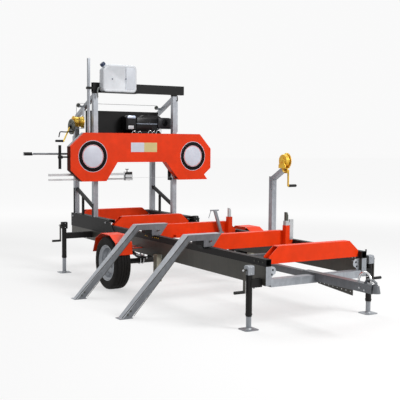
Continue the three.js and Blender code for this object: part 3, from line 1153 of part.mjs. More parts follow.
const CABLE_Y = LIFT_Y + LIFT_DRUM_R + CABLE_R + CLEAR;

// Sheave with its axle and the plate that carries it from the brace
function sheave(x, braceX) {
  const wheel = pin("y", [x, SHEAVE_Z], SHEAVE_R, [CABLE_Y - SHEAVE_THICK / 2, CABLE_Y + SHEAVE_THICK / 2], 16);
  const plateY = [CABLE_Y - SHEAVE_THICK / 2 - WINCH_SHEET, CABLE_Y - SHEAVE_THICK / 2 + WELD];
  const plate = box([x, braceX], plateY, [SHEAVE_Z - SHEAVE_R, SHEAVE_Z]);
  return join(wheel, plate);
}

// The left side also carries the lift winch: a hanger under the brace and a folded frame for the drum
function leftPostFrame() {
  const outer = -(POST_X + POST * 0.4);
  const frameLow = LIFT_DRUM_Z - LIFT_FLANGE_R - WINCH_SHEET * 2;
  const cheekTop = LIFT_DRUM_Z + LIFT_DRUM_R;
  const half = LIFT_DRUM_R + WINCH_SHEET * 2;
  const ySpan = [LIFT_Y - half, LIFT_Y + half];
  const hanger = box([outer + WINCH_SHEET, LIFT_FRAME_RIGHT], [LIFT_Y - LIFT_DRUM_R / 2, LIFT_Y + LIFT_DRUM_R / 2],
    [frameLow, braceZ(LIFT_Y)]);
  const floor = box([LIFT_FRAME_LEFT, LIFT_FRAME_RIGHT], ySpan, [frameLow, frameLow + WINCH_SHEET]);
  const cheeks = [[LIFT_FRAME_LEFT, LIFT_FRAME_LEFT + WINCH_SHEET],
    [LIFT_FRAME_RIGHT - WINCH_SHEET, LIFT_FRAME_RIGHT + WELD]].map((span) => box(span, ySpan, [frameLow, cheekTop]));
  const drumHole = pin("x", [LIFT_Y, LIFT_DRUM_Z], WINCH_SHAFT_R + CLEAR,
    [LIFT_FRAME_LEFT - OVERRUN, LIFT_FRAME_RIGHT + OVERRUN], 12);
  const crankHole = pin("x", [LIFT_Y, LIFT_DRUM_Z - LIFT_SHAFT_DROP], WINCH_SHAFT_R + CLEAR,
    [LIFT_FRAME_LEFT - OVERRUN, LIFT_FRAME_LEFT + LIFT_DRUM_R], 12);
  const frame = cut(join(floor, ...cheeks, hanger), drumHole, crankHole);
  return join(postFrame(SIDES.left), frame, sheave(SHEAVE_LEFT_X, outer + WELD));
}

function rightPostFrame() {
  const inner = POST_X - POST * 0.4;
  const guideFrom = POST_X + POST / 2 - WELD;
  const guide = box([guideFrom, guideFrom + SCALE_BAR * 0.8], [FRONT_POST_Y - SCALE_BAR * 0.4,
    FRONT_POST_Y + SCALE_BAR * 0.4], [HEAD_SLEEVE_TOP + POST, FRONT_POST_TOP + POST / 4]);
  return join(postFrame(SIDES.right), guide, sheave(SHEAVE_RIGHT_X, inner + WELD));
}

function liftDrum() {
  const centre = [LIFT_Y, LIFT_DRUM_Z];
  const from = LIFT_FRAME_LEFT + WINCH_SHEET + CLEAR;
  const to = LIFT_FRAME_RIGHT - WINCH_SHEET - CLEAR;
  const gearTo = LIFT_FRAME_LEFT - CLEAR;
  const flange = WINCH_SHEET * 0.8;
  const wraps = pin("x", centre, LIFT_DRUM_R, [from, to], 24);
  return join(wraps,
    pin("x", centre, LIFT_FLANGE_R, [from, from + flange], 20),
    pin("x", centre, LIFT_FLANGE_R, [to - flange, to], 20),
    pin("x", centre, WINCH_SHAFT_R, [gearTo - LIFT_GEAR_THICK, LIFT_FRAME_RIGHT + OVERRUN], 12),
    gear(centre, LIFT_GEAR_TEETH, LIFT_GEAR_MODULE, [gearTo - LIFT_GEAR_THICK, gearTo], -Math.PI / 2));
}

// Lift crank: brake disc, pinion and a leaning arm with its grip
function liftCrank() {
  const z = LIFT_DRUM_Z - LIFT_SHAFT_DROP;
  const gearTo = LIFT_FRAME_LEFT - CLEAR;
  const discTo = gearTo - LIFT_GEAR_THICK - CLEAR;
  const discFrom = discTo - LIFT_GEAR_THICK;
  const inside = LIFT_FRAME_LEFT + WINCH_SHEET + OVERRUN / 10;
  const shaft = pin("x", [LIFT_Y, z], WINCH_SHAFT_R, [discFrom - LIFT_GEAR_THICK * 3, inside - OVERRUN / 10], 12);
  const pinion = gear([LIFT_Y, z], LIFT_PINION_TEETH, LIFT_GEAR_MODULE, [discTo - WELD, gearTo],
    Math.PI / 2 + Math.PI / LIFT_PINION_TEETH);
  const disc = pin("x", [LIFT_Y, z], LIFT_DISC_R, [discFrom, discTo], 24);
  const start = discFrom - LIFT_GEAR_THICK * 2.5;
  const elbow = [start - LIFT_ARM_OUT, LIFT_Y - LIFT_ARM_FORWARD, z - LIFT_ARM_DOWN];
  const arm = rod([start, LIFT_Y, z], elbow, WINCH_SHAFT_R * 1.4, 10);
  const knuckle = pin("x", elbow.slice(1), WINCH_SHAFT_R * 1.5, [elbow[0] - WINCH_SHAFT_R, elbow[0] + WINCH_SHAFT_R], 12);
  const hub = pin("x", [LIFT_Y, z], WINCH_SHAFT_R * 2, [start - WINCH_SHAFT_R, start + WINCH_SHAFT_R], 12);
  const grip = pin("x", elbow.slice(1), CRANK_GRIP_R, [elbow[0] - LIFT_GRIP_LONG, elbow[0] - WELD], 12);
  return join(shaft, pinion, disc, arm, knuckle, hub, grip);
}

// Lift cable: up from the drum, over both sheaves and down into the guard
const CABLE_START = [SHEAVE_LEFT_X - SHEAVE_R - CABLE_R - 4 * CLEAR, LIFT_DRUM_Z];
const CABLE_END = [SHEAVE_RIGHT_X + SHEAVE_R + CABLE_R + 4 * CLEAR, GUARD_TOP - SHEAVE_R];

function liftCable() {
  const reach = SHEAVE_R + CABLE_R + 4 * CLEAR;
  const quarter = (centreX, fromAngle) => Array.from({ length: 5 }, (_, i) => {
    const angle = fromAngle - (Math.PI / 8) * i;
    return [centreX + reach * Math.cos(angle), SHEAVE_Z + reach * Math.sin(angle)];
  });
  const left = quarter(SHEAVE_LEFT_X, Math.PI);
  const right = quarter(SHEAVE_RIGHT_X, Math.PI / 2);
  return cord([CABLE_START, ...left, ...right, CABLE_END], CABLE_R);
}

// A round cord through points of the plane across Y at the cable's place
function cord(points, radius) {
  const sides = 8;
  const heading = (i) => {
    const [from, to] = [points[Math.max(i - 1, 0)], points[Math.min(i + 1, points.length - 1)]];
    return Math.atan2(to[1] - from[1], to[0] - from[0]);
  };
  const positions = points.flatMap(([x, z], i) => Array.from({ length: sides }, (_, k) => {
    const turn = (2 * Math.PI * k) / sides;
    const across = radius * Math.cos(turn);
    return [x - across * Math.sin(heading(i)), CABLE_Y + radius * Math.sin(turn), z + across * Math.cos(heading(i))];
  }).flat());
  const index = [];
  for (let i = 0; i + 1 < points.length; i += 1) {
    for (let k = 0; k < sides; k += 1) {
      const [a, b] = [i * sides + k, i * sides + ((k + 1) % sides)];
      index.push(a, b, b + sides, a, b + sides, a + sides);
    }
  }
  const last = (points.length - 1) * sides;
  for (let k = 1; k + 1 < sides; k += 1) {
    index.push(0, k + 1, k, last, last + k, last + k + 1);
  }
  const geometry = new THREE.BufferGeometry();
  geometry.setAttribute("position", new THREE.Float32BufferAttribute(positions, 3));
  geometry.setIndex(index);
  const solid = solidFrom(geometry);
  return solid.volume() > 0 ? solid : solidFrom(geometry, true);
}

// Top beam across the carriage, with the tank's shelf and the guide for the scale bar
function topBeam() {
  const y = FRONT_POST_Y;
  const low = TOP_BEAM_BOTTOM;
  const beam = boxTube("x", [y, low + TOP_BEAM_TALL / 2], [POST, TOP_BEAM_TALL], [TOP_BEAM_LEFT, TOP_BEAM_RIGHT],
    TOP_BEAM_WALL);
  const feet = Object.values(SIDES).map((side) => bar("z", [side * POST_X, y], [POST, POST],
    [FRONT_POST_TOP + CLEAR, low + WELD]));
  const front = y - POST / 2;
  const shelfTop = TANK_BOTTOM - CLEAR;
  const shelf = box([TANK_LEFT, TANK_RIGHT], [front - TANK_DEEP, front + POST / 2],
    [shelfTop - TOP_BEAM_WALL, shelfTop]);
  const hook = box([TANK_LEFT, TANK_RIGHT], [front, front + POST / 2], [shelfTop - TOP_BEAM_WALL, low + WELD]);
  const eyeOuter = SCALE_BAR + 4 * TOP_BEAM_WALL;
  const eye = cut(box([SCALE_BAR_X - eyeOuter / 2, TOP_BEAM_LEFT + WELD], [y - eyeOuter / 2, y + eyeOuter / 2],
    [low + POST / 2, low + POST]), bar("z", [SCALE_BAR_X, y], [SCALE_BAR + TOP_BEAM_WALL, SCALE_BAR + TOP_BEAM_WALL],
    [low, low + POST * 2]));
  const rightNotch = box([POST_X + POST / 2 - OVERRUN, POST_X + POST + OVERRUN], [y - SCALE_BAR / 2, y + SCALE_BAR / 2],
    [0, low - OVERRUN]);
  return cut(join(beam, ...feet, shelf, hook, eye), rightNotch);
}

// Water tank: a blow-moulded box with bevelled edges, a crease down its face and a filler neck
function waterTank() {
  const front = FRONT_POST_Y - POST / 2 - TANK_DEEP;
  const back = FRONT_POST_Y - POST / 2 - CLEAR;
  const top = TANK_BOTTOM + TANK_TALL;
  const c = TANK_CORNER;
  const faceOutline = [[TANK_LEFT + c, TANK_BOTTOM], [TANK_RIGHT - c, TANK_BOTTOM], [TANK_RIGHT, TANK_BOTTOM + c],
    [TANK_RIGHT, top - c], [TANK_RIGHT - c, top], [TANK_LEFT + c, top], [TANK_LEFT, top - c],
    [TANK_LEFT, TANK_BOTTOM + c]];
  const planOutline = [[TANK_LEFT + c, front], [TANK_RIGHT - c, front], [TANK_RIGHT, front + c],
    [TANK_RIGHT, back - c], [TANK_RIGHT - c, back], [TANK_LEFT + c, back], [TANK_LEFT, back - c],
    [TANK_LEFT, front + c]];
  const body = prism("y", faceOutline, [front, back]).intersect(
    prism("z", planOutline, [TANK_BOTTOM - OVERRUN, top + OVERRUN]));
  const crease = TANK_LEFT + (TANK_RIGHT - TANK_LEFT) * 0.62;
  const groove = prism("z", [[crease - c / 2, front - OVERRUN], [crease + c / 2, front - OVERRUN],
    [crease, front + c / 3]], [TANK_BOTTOM - OVERRUN, top - c * 2]);
  const neckY = (front + back) / 2;
  const neckFrom = [TANK_CAP_X, neckY, top - c];
  const neck = rod(neckFrom, [TANK_CAP_X, neckY, top + TANK_CAP_R / 3], TANK_CAP_R * 0.8);
  const cap = rod([TANK_CAP_X, neckY, top + TANK_CAP_R / 4], [TANK_CAP_X, neckY, top + TANK_CAP_R], TANK_CAP_R, 16);
  return join(cut(body, groove), neck, cap);
}

// The head's outline seen from the front: both wheel housings and the throat between them, anticlockwise
const headOutline = () => [...leftHousing, ...rightHousing];

const ARM_Y = [COVER_BACK - ARM_BACK_GAP - ARM_DEEP, COVER_BACK - ARM_BACK_GAP];
const ARM_BARS = [[ARM_UPPER_Z, ARM_UPPER_TALL], [ARM_LOWER_Z, ARM_LOWER_TALL]];

// Front cover: a sheet shell open at the back, slotted for the blade, the guide arm and the tension screw
function frontCover() {
  const outline = headOutline();
  const shell = cut(prism("y", outline, [COVER_FRONT, COVER_BACK]),
    prism("y", inset(outline, COVER_SHEET), [COVER_FRONT + COVER_SHEET, COVER_BACK + OVERRUN]));
  const bladeSlot = box([leftHousing.at(-2)[0] - POST / 2, rightHousing[1][0] + POST / 2],
    [BAND_Y - BLADE_WIDE, BAND_Y + BLADE_WIDE], [BLADE_Z - OVERRUN * 3, BLADE_Z + OVERRUN * 3]);
  const slotTop = ARM_UPPER_Z + ARM_UPPER_TALL / 2 + OVERRUN;
  const armSlot = box([COVER_LEFT - OVERRUN, THROAT_LEFT], [ARM_Y[0] - OVERRUN, COVER_BACK + OVERRUN],
    [ARM_LOWER_Z - ARM_LOWER_TALL / 2 - OVERRUN, slotTop]);
  const screwSlot = box([COVER_LEFT - OVERRUN, COVER_LEFT + OVERRUN], [SCREW_Y - SCREW_R * 1.5, COVER_BACK + OVERRUN],
    [WHEEL_AXIS_Z - SCREW_R * 1.5, WHEEL_AXIS_Z + SCREW_R * 1.5]);
  return cut(shell, bladeSlot, armSlot, screwSlot);
}

const postSleeveSpan = (centre) => [centre - POST / 2 - CLEAR - SLEEVE_SHEET, centre + POST / 2 + CLEAR + SLEEVE_SHEET];

function headSleeve(side, y, low) {
  const size = POST + 2 * CLEAR + 2 * SLEEVE_SHEET;
  return boxTube("z", [side * POST_X, y], [size, size], [low, HEAD_SLEEVE_TOP], SLEEVE_SHEET);
}

// Head frame: back plate, sleeves on all four posts, main beam, engine plate, guard, push handle and scale bar
function headFrame() {
  const outline = headOutline();
  const plate = prism("y", outline, [PLATE_FRONT, PLATE_BACK]);
  const sleeves = Object.values(SIDES).flatMap((side) => [
    headSleeve(side, FRONT_POST_Y, HEAD_SLEEVE_BOTTOM),
    headSleeve(side, REAR_POST_Y, REAR_SLEEVE_BOTTOM),
  ]);
  const sleeveFront = postSleeveSpan(FRONT_POST_Y)[0];
  const spacers = Object.values(SIDES).map((side) => box([side * (POST_X - POST / 2), side * (POST_X + POST / 2)],
    [PLATE_BACK - WELD, sleeveFront + WELD], [WHEEL_AXIS_Z, HEAD_SLEEVE_TOP]));
  const beamZ = [WHEEL_AXIS_Z - MAIN_BEAM_TALL / 2, WHEEL_AXIS_Z + MAIN_BEAM_TALL / 2];
  const beam = boxTube("x", [MAIN_BEAM_Y - WELD / 2, WHEEL_AXIS_Z], [MAIN_BEAM_DEEP + WELD, MAIN_BEAM_TALL],
    [MAIN_BEAM_LEFT, MAIN_BEAM_RIGHT], MAIN_BEAM_WALL);
  const innerFace = POST_X - POST / 2 - CLEAR - SLEEVE_SHEET;
  const arms = Object.values(SIDES).map((side) => box([side * (innerFace - SIDE_ARM_WIDE), side * (innerFace + WELD)],
    [MAIN_BEAM_FRONT - POST / 2, postSleeveSpan(REAR_POST_Y)[1]], [SIDE_ARM_BOTTOM, SIDE_ARM_BOTTOM + SIDE_ARM_TALL]));
  const hubs = [DRIVE_X].map((x) => box([x - BAND_HUB_R, x + BAND_HUB_R], [PLATE_BACK - WELD, MAIN_BEAM_FRONT],
    [WHEEL_AXIS_Z - MAIN_BEAM_TALL / 3, WHEEL_AXIS_Z + MAIN_BEAM_TALL / 3]));
  const shaftHole = pin("y", [DRIVE_X, WHEEL_AXIS_Z], boreFor(BAND_SHAFT_R),
    [PLATE_FRONT - OVERRUN, MAIN_BEAM_BACK + OVERRUN]);
  const parts = [plate, ...sleeves, ...spacers, beam, ...arms, ...hubs, slideGuides(), armBracket(), fixedGuide(),
    enginePlate(beamZ[1]), rearGuard(), pushHandle(), scaleBar()];
  return cut(join(...parts), shaftHole);
}

// Ways for the tension slide, standing on the back plate inside the cover
function slideGuides() {
  const depth = [PLATE_FRONT - SLIDE_DEEP + SLIDE_GUIDE / 2, PLATE_FRONT + WELD];
  const ways = [-1, 1].map((end) => {
    const z = WHEEL_AXIS_Z + end * (SLIDE_TALL / 2 + CLEAR + SLIDE_GUIDE / 2);
    return box([IDLER_X - SLIDE_LONG * 0.7, IDLER_X + SLIDE_LONG * 0.7], depth,
      [z - SLIDE_GUIDE / 2, z + SLIDE_GUIDE / 2]);
  });
  return join(...ways);
}

// Bracket that the two bars of the guide arm slide through
function armBracket() {
  const low = ARM_LOWER_Z - ARM_LOWER_TALL;
  const block = box([ARM_BRACKET_X, ARM_BRACKET_X + ARM_BRACKET_LONG], [ARM_Y[0] - ARM_BACK_GAP, PLATE_FRONT + WELD],
    [low + OVERRUN, ARM_UPPER_Z + ARM_UPPER_TALL]);
  const ways = ARM_BARS.map(([z, tall]) => box([ARM_BRACKET_X - OVERRUN, ARM_BRACKET_X + ARM_BRACKET_LONG + OVERRUN],
    [ARM_Y[0] - CLEAR, ARM_Y[1] + CLEAR], [z - tall / 2 - CLEAR, z + tall / 2 + CLEAR]));
  return cut(block, ...ways);
}

// Fixed blade guide, hung behind the plate beside the right of the throat
function fixedGuide() {
  const half = FIXED_GUIDE_WIDE / 2;
  const low = BLADE_Z - FIXED_GUIDE_WIDE - SLIDE_GUIDE;
  const hanger = box([FIXED_GUIDE_X - half, FIXED_GUIDE_X + half], [PLATE_BACK - WELD, PLATE_BACK + BACK_PLATE * 4],
    [low, BLADE_Z + FIXED_GUIDE_WIDE * 4]);
  const finger = box([FIXED_GUIDE_X - half, FIXED_GUIDE_X + half], [BAND_Y + BLADE_WIDE, PLATE_BACK + BACK_PLATE * 4],
    [low, BLADE_Z - SLIDE_GUIDE]);
  return join(hanger, finger);
}

function enginePlate(beamTop) {
  const top = ENGINE_BOTTOM - CLEAR;
  const sheet = BACK_PLATE;
  const inner = POST_X - POST / 2 - CLEAR - SLEEVE_SHEET;
  const table = box([-inner + WELD, inner - WELD], [MAIN_BEAM_FRONT, GUARD_Y + WELD], [top - sheet, top]);
  const legs = [-ENGINE_SHAFT_X, ENGINE_SHAFT_X].map((x) => box([x - MAIN_BEAM_DEEP / 2, x + MAIN_BEAM_DEEP / 2],
    [MAIN_BEAM_FRONT, MAIN_BEAM_BACK], [beamTop - WELD, top]));
  const webs = Object.values(SIDES).map((side) => box([side * (inner - BACK_PLATE), side * (inner - WELD)],
    [ENGINE_FRONT, GUARD_Y], [SIDE_ARM_BOTTOM + WELD, top - sheet / 2]));
  const beltSlot = box([ENGINE_SHAFT_X + DRIVE_PULLEY_R * 0.7, ENGINE_SHAFT_X + DRIVE_PULLEY_R * 1.45],
    [PULLEY_Y - BELT_WIDE, PULLEY_Y + BELT_WIDE], [top - sheet * 2, top + sheet]);
  return cut(join(table, ...legs, ...webs), beltSlot);
}

// Folded guard behind the engine, open underneath, with a hole for the lift cable
function rearGuard() {
  const inner = POST_X - POST / 2 - CLEAR - SLEEVE_SHEET;
  const low = ENGINE_BOTTOM - CLEAR - BACK_PLATE;
  const shell = cut(box([-inner, inner], [GUARD_Y, GUARD_Y + GUARD_DEEP], [low, GUARD_TOP]),
    box([-inner + GUARD_SHEET, inner - GUARD_SHEET], [GUARD_Y + GUARD_SHEET, GUARD_Y + GUARD_DEEP - GUARD_SHEET],
      [low - OVERRUN, GUARD_TOP - GUARD_SHEET]));
  const cableX = SHEAVE_RIGHT_X + SHEAVE_R + CABLE_R + CLEAR;
  const hole = box([cableX - SHEAVE_THICK, inner + OVERRUN], [GUARD_Y - OVERRUN, CABLE_Y + SHEAVE_THICK],
    [GUARD_TOP - POST - SHEAVE_R, GUARD_TOP + OVERRUN]);
  return cut(shell, hole);
}

function pushHandle() {
  const y = MAIN_BEAM_BACK - PUSH_ROD_R;
  const foot = box([MAIN_BEAM_LEFT, MAIN_BEAM_LEFT + MAIN_BEAM_WALL], [MAIN_BEAM_FRONT, MAIN_BEAM_BACK],
    [WHEEL_AXIS_Z - MAIN_BEAM_TALL / 2, PUSH_ROD_Z + PUSH_ROD_R * 2]);
  const shank = pin("x", [y, PUSH_ROD_Z], PUSH_ROD_R, [MAIN_BEAM_LEFT + WELD, PUSH_ROD_END_X], 12);
  const grip = pin("x", [y, PUSH_ROD_Z], PUSH_GRIP_R, [PUSH_ROD_END_X + WELD, PUSH_ROD_END_X - PUSH_GRIP_LONG], 14);
  return join(foot, shank, grip);
}

function scaleBar() {
  const half = SCALE_BAR / 2;
  const y = FRONT_POST_Y;
  const upright = bar("z", [SCALE_BAR_X, y], [SCALE_BAR, SCALE_BAR], [SCALE_BAR_BOTTOM, SCALE_BAR_TOP]);
  const foot = box([SCALE_BAR_X, postSleeveSpan(-POST_X)[0] + WELD], [y - half, y + half],
    [SCALE_BAR_BOTTOM, HEAD_SLEEVE_TOP]);
  return join(upright, foot);
}

// Band wheel: flat rim, dished web with round holes, hub
function bandWheel(x, rearHub) {
  const half = BAND_WHEEL_WIDE / 2;
  const r = BAND_WHEEL_R;
  const web = BAND_WHEEL_WIDE * 0.12;
  const profile = [[0, -half], [BAND_HUB_R, -half], [BAND_HUB_R, -web], [r * 0.92, -web], [r * 0.92, -half],
    [r, -half], [r, half], [r * 0.92, half], [r * 0.92, web], [BAND_HUB_R, web], [BAND_HUB_R, rearHub], [0, rearHub]];
  const disc = turned("y", [x, BAND_Y, WHEEL_AXIS_Z], profile, 28);
  const holes = Array.from({ length: 5 }, (_, i) => {
    const angle = Math.PI * (0.5 + 0.4 * i);
    return pin("y", [x + r * 0.56 * Math.cos(angle), WHEEL_AXIS_Z + r * 0.56 * Math.sin(angle)], r * 0.17,
      [BAND_Y - half, BAND_Y + half], 8);
  });
  return cut(disc, ...holes);
}

function idlerWheel() {
  const half = BAND_WHEEL_WIDE / 2;
  const bore = pin("y", [IDLER_X, WHEEL_AXIS_Z], boreFor(BAND_SHAFT_R),
    [BAND_Y - BAND_WHEEL_WIDE, BAND_Y + BAND_WHEEL_WIDE]);
  return cut(bandWheel(IDLER_X, half), bore);
}

// Drive wheel: its shaft runs back through the main beam to the belt pulley
function driveWheel() {
  const centre = [DRIVE_X, WHEEL_AXIS_Z];
  const shaft = pin("y", centre, BAND_SHAFT_R, [BAND_Y, PULLEY_Y + BELT_WIDE]);
  const flange = BELT_THICK * 0.7;
  const half = BELT_WIDE / 2 + CLEAR;
  const rim = DRIVE_PULLEY_R + flange;
  const profile = [[0, -half - flange], [rim, -half - flange], [rim, -half], [DRIVE_PULLEY_R, -half],
    [DRIVE_PULLEY_R, half], [rim, half], [rim, half + flange], [0, half + flange]];
  return join(bandWheel(DRIVE_X, BAND_WHEEL_WIDE / 2), shaft, turned("y", [DRIVE_X, PULLEY_Y, WHEEL_AXIS_Z], profile, 20));
}

// Tension slide with the idler's fixed spindle
function idlerSlide() {
  const back = PLATE_FRONT - CLEAR;
  const front = back - SLIDE_DEEP;
  const block = box([IDLER_X - SLIDE_LONG / 2, IDLER_X + SLIDE_LONG / 2], [front, back],
    [WHEEL_AXIS_Z - SLIDE_TALL / 2, WHEEL_AXIS_Z + SLIDE_TALL / 2]);
  const spindle = pin("y", [IDLER_X, WHEEL_AXIS_Z], BAND_SHAFT_R, [BAND_Y - BAND_WHEEL_WIDE / 2 - BELT_THICK, front + WELD]);
  const collar = pin("y", [IDLER_X, WHEEL_AXIS_Z], BAND_SHAFT_R * 1.6, [BAND_Y + BAND_WHEEL_WIDE / 2 + CLEAR,
    front + WELD]);
  return join(block, spindle, collar);
}

function tensionHandle() {
  const left = IDLER_X - SLIDE_LONG / 2 - CLEAR;
  const screw = pin("x", [SCREW_Y, WHEEL_AXIS_Z], SCREW_R, [T_HANDLE_X, left], 12);
  const hub = pin("x", [SCREW_Y, WHEEL_AXIS_Z], T_HUB_R, [T_HANDLE_X - T_HUB_R, T_HANDLE_X + T_HUB_R * 1.6], 14);
  const cross = pin("z", [T_HANDLE_X, SCREW_Y], T_HANDLE_R, [WHEEL_AXIS_Z - T_HANDLE_LONG / 2,
    WHEEL_AXIS_Z + T_HANDLE_LONG / 2], 14);
  return join(screw, hub, cross);
}

// Guide arm: two bars and the roller block that steadies the blade
function guideArm() {
  const bars = ARM_BARS.map(([z, tall]) => box([ARM_LEFT, ARM_RIGHT + WELD], ARM_Y, [z - tall / 2, z + tall / 2]));
  const low = ARM_LOWER_Z - ARM_LOWER_TALL;
  const block = box([ARM_RIGHT, ARM_RIGHT + GUIDE_BLOCK_LONG], ARM_Y, [low, ARM_UPPER_Z + ARM_UPPER_TALL]);
  const reach = BAND_Y + BLADE_WIDE / 2 - TOOTH_DEEP;
  const rollers = [[low, BLADE_Z - BLADE_THICK - OVERRUN], [BLADE_Z + OVERRUN, BLADE_Z + SLIDE_GUIDE * 4]].map(([a, b]) =>
    box([ARM_RIGHT + OVERRUN, ARM_RIGHT + GUIDE_BLOCK_LONG - OVERRUN], [reach, ARM_Y[0] + WELD], [a, b]));
  return join(...bars, block, ...rollers);
}

// Band saw blade: teeth point towards the hitch end
function sawBlade() {
  const r = BAND_WHEEL_R + 2 * CLEAR;
  const back = BAND_Y + BLADE_WIDE / 2;
  const front = BAND_Y - BLADE_WIDE / 2;
  const stations = bandStations({ x: IDLER_X, z: WHEEL_AXIS_Z, r }, { x: DRIVE_X, z: WHEEL_AXIS_Z, r },
    BLADE_ARC_STEPS, BLADE_STRAIGHT_STEPS);
  return band(stations, BLADE_THICK, back, (i) => (i % 2 === 0 ? front : front + TOOTH_DEEP));
}

function driveBelt() {
  const [back, front] = [PULLEY_Y + BELT_WIDE / 2, PULLEY_Y - BELT_WIDE / 2];
  const stations = bandStations({ x: ENGINE_SHAFT_X, z: ENGINE_SHAFT_Z, r: ENGINE_PULLEY_R + 4 * CLEAR },
    { x: DRIVE_X, z: WHEEL_AXIS_Z, r: DRIVE_PULLEY_R + 6 * CLEAR }, BELT_ARC_STEPS, 1);
  return band(stations, BELT_THICK, back, () => front);
}

// Engine: crankcase, leaning finned cylinder, fuel tank, starter housing, air filter box and clutch pulley
function engine() {
  const back = ENGINE_FRONT + ENGINE_DEEP;
  const middleY = (ENGINE_FRONT + back) / 2;
  const ySpan = [ENGINE_FRONT, back];
  const [left, right] = [ENGINE_LEFT, ENGINE_RIGHT];
  const wide = right - left;
  const tall = ENGINE_TOP - ENGINE_BOTTOM;
  const at = (a, b) => [left + wide * a, ENGINE_BOTTOM + tall * b];
  const crankcase = prism("y", [at(0.25, 0), at(0.9, 0), at(0.95, 0.12), at(0.95, 0.45), at(0.8, 0.6), at(0.25, 0.6),
    at(0.15, 0.4), at(0.15, 0.1)], ySpan);
  const finCount = 6;
  const fins = Array.from({ length: finCount }, (_, i) => {
    const share = i / (finCount - 1);
    return prism("y", [at(0.02 + share * 0.16, 0.5), at(0.06 + share * 0.16, 0.5), at(0.06 + share * 0.16, 0.82),
      at(0.02 + share * 0.16, 0.82)], [ENGINE_FRONT, back]);
  });
  const cylinder = prism("y", [at(0.03, 0.54), at(0.3, 0.3), at(0.45, 0.55), at(0.3, 0.8), at(0.03, 0.78)],
    [ENGINE_FRONT + ENGINE_DEEP * 0.12, back - ENGINE_DEEP * 0.12]);
  const muffler = pin("y", at(0.12, 0.86), tall * 0.13, [ENGINE_FRONT + ENGINE_DEEP * 0.1, back - ENGINE_DEEP * 0.1], 16);
  const fuelTank = prism("y", [at(0.27, 0.66), at(0.98, 0.66), at(1, 0.76), at(0.94, 0.96), at(0.84, 1), at(0.4, 1),
    at(0.28, 0.93)], [ENGINE_FRONT + ENGINE_DEEP * 0.04, back - ENGINE_DEEP * 0.04]);
  const seat = prism("y", [at(0.3, 0.55), at(0.9, 0.55), at(0.9, 0.7), at(0.3, 0.7)],
    [ENGINE_FRONT + ENGINE_DEEP * 0.15, back - ENGINE_DEEP * 0.15]);
  const filterLow = ENGINE_BOTTOM + tall * 0.58;
  const filter = prism("y", [[right - POST / 2, filterLow], [FILTER_RIGHT - POST / 6, filterLow],
    [FILTER_RIGHT, filterLow + POST / 6], [FILTER_RIGHT, ENGINE_TOP - tall * 0.12],
    [FILTER_RIGHT - POST / 6, ENGINE_TOP - tall * 0.08], [right - POST / 2, ENGINE_TOP - tall * 0.08]],
  [ENGINE_FRONT, ENGINE_FRONT + ENGINE_DEEP * 0.7]);
  const shaft = pin("y", [ENGINE_SHAFT_X, ENGINE_SHAFT_Z], BAND_SHAFT_R, [PULLEY_Y - BELT_WIDE, middleY]);
  const flange = BELT_THICK * 0.7;
  const half = BELT_WIDE / 2 + CLEAR;
  const rim = ENGINE_PULLEY_R + flange;
  const pulley = turned("y", [ENGINE_SHAFT_X, PULLEY_Y, ENGINE_SHAFT_Z], [[0, -half - flange], [rim, -half - flange],
    [rim, -half], [ENGINE_PULLEY_R, -half], [ENGINE_PULLEY_R, half], [rim, half], [rim, half + flange],
    [0, half + flange]], 16);
  const fuelCap = pin("z", [left + wide * 0.6, middleY], POST * 0.45, [ENGINE_TOP - WELD, ENGINE_TOP + POST / 4], 16);
  return join(crankcase, ...fins, cylinder, muffler, fuelTank, seat, filter, shaft, pulley, fuelCap);
}

for (const [name, side] of Object.entries(SIDES)) {
  add(`${name}_beam`, sideBeam(side), GALVANISED);
  add(`${name}_rail`, rail(side), BLACK);
  add(`${name}_mudguard`, mudguard(side), ORANGE);
  add(`${name}_road_wheel`, roadWheel(side), TYRE_RUBBER);
  add(`${name}_sole`, sole(side), BLACK);
  add(`${name}_front_roller`, roller(side, ROLLER_FRONT_Y), BRIGHT_STEEL);
  add(`${name}_rear_roller`, roller(side, ROLLER_REAR_Y), BRIGHT_STEEL);
}
add("bunk_1", bunk(bunkFront(0)), ORANGE);
add("bunk_2", bunkWithStop(bunkFront(1)), ORANGE);
add("bunk_3", join(bunkWithStop(bunkFront(2)), clampRail(bunkFront(2))), ORANGE);
add("bunk_4", bunk(bunkFront(3)), ORANGE);
add("bunk_5", bunk(bunkFront(4)), ORANGE);
add("front_cross_tube", frontCrossTube(), GALVANISED);
add("inner_drawbar", innerDrawbar(), GALVANISED);
add("drawbar_sleeve", drawbarSleeve(), GALVANISED);
add("axle", axle(), BLACK);
for (const jack of JACKS) {
  add(`${jack.name}_jack`, jackBody(jack), BLACK);
  add(`${jack.name}_jack_leg`, jackLeg(jack), GALVANISED);
  add(`${jack.name}_jack_crank`, jackCrank(jack), GALVANISED);
}
add("front_ramp", ramp(bunkFront(1)), GALVANISED);
add("rear_ramp", ramp(bunkFront(2)), GALVANISED);
add("front_log_stop", postedLogStop(bunkFront(1)), BRIGHT_STEEL);
add("rear_log_stop", logStop(bunkFront(2), STOP_1_TOP), BRIGHT_STEEL);
add("log_clamp", logClamp(bunkFront(2)), BRIGHT_STEEL);
add("log_winch_post", winchPost(), GALVANISED);
add("log_winch_drum", logWinchDrum(), YELLOW);
add("log_winch_crank", logWinchCrank(), YELLOW);
add("left_post_frame", leftPostFrame(), GALVANISED);
add("right_post_frame", rightPostFrame(), GALVANISED);
add("top_beam", topBeam(), BLACK);
add("water_tank", waterTank(), WHITE_PLASTIC);
add("lift_drum", liftDrum(), YELLOW);
add("lift_crank", liftCrank(), BRIGHT_STEEL);
add("lift_cable", liftCable(), BRIGHT_STEEL);
add("head_frame", headFrame(), BLACK);
add("front_cover", frontCover(), ORANGE);
add("engine", engine(), BLACK);
add("drive_wheel", driveWheel(), BRIGHT_STEEL);
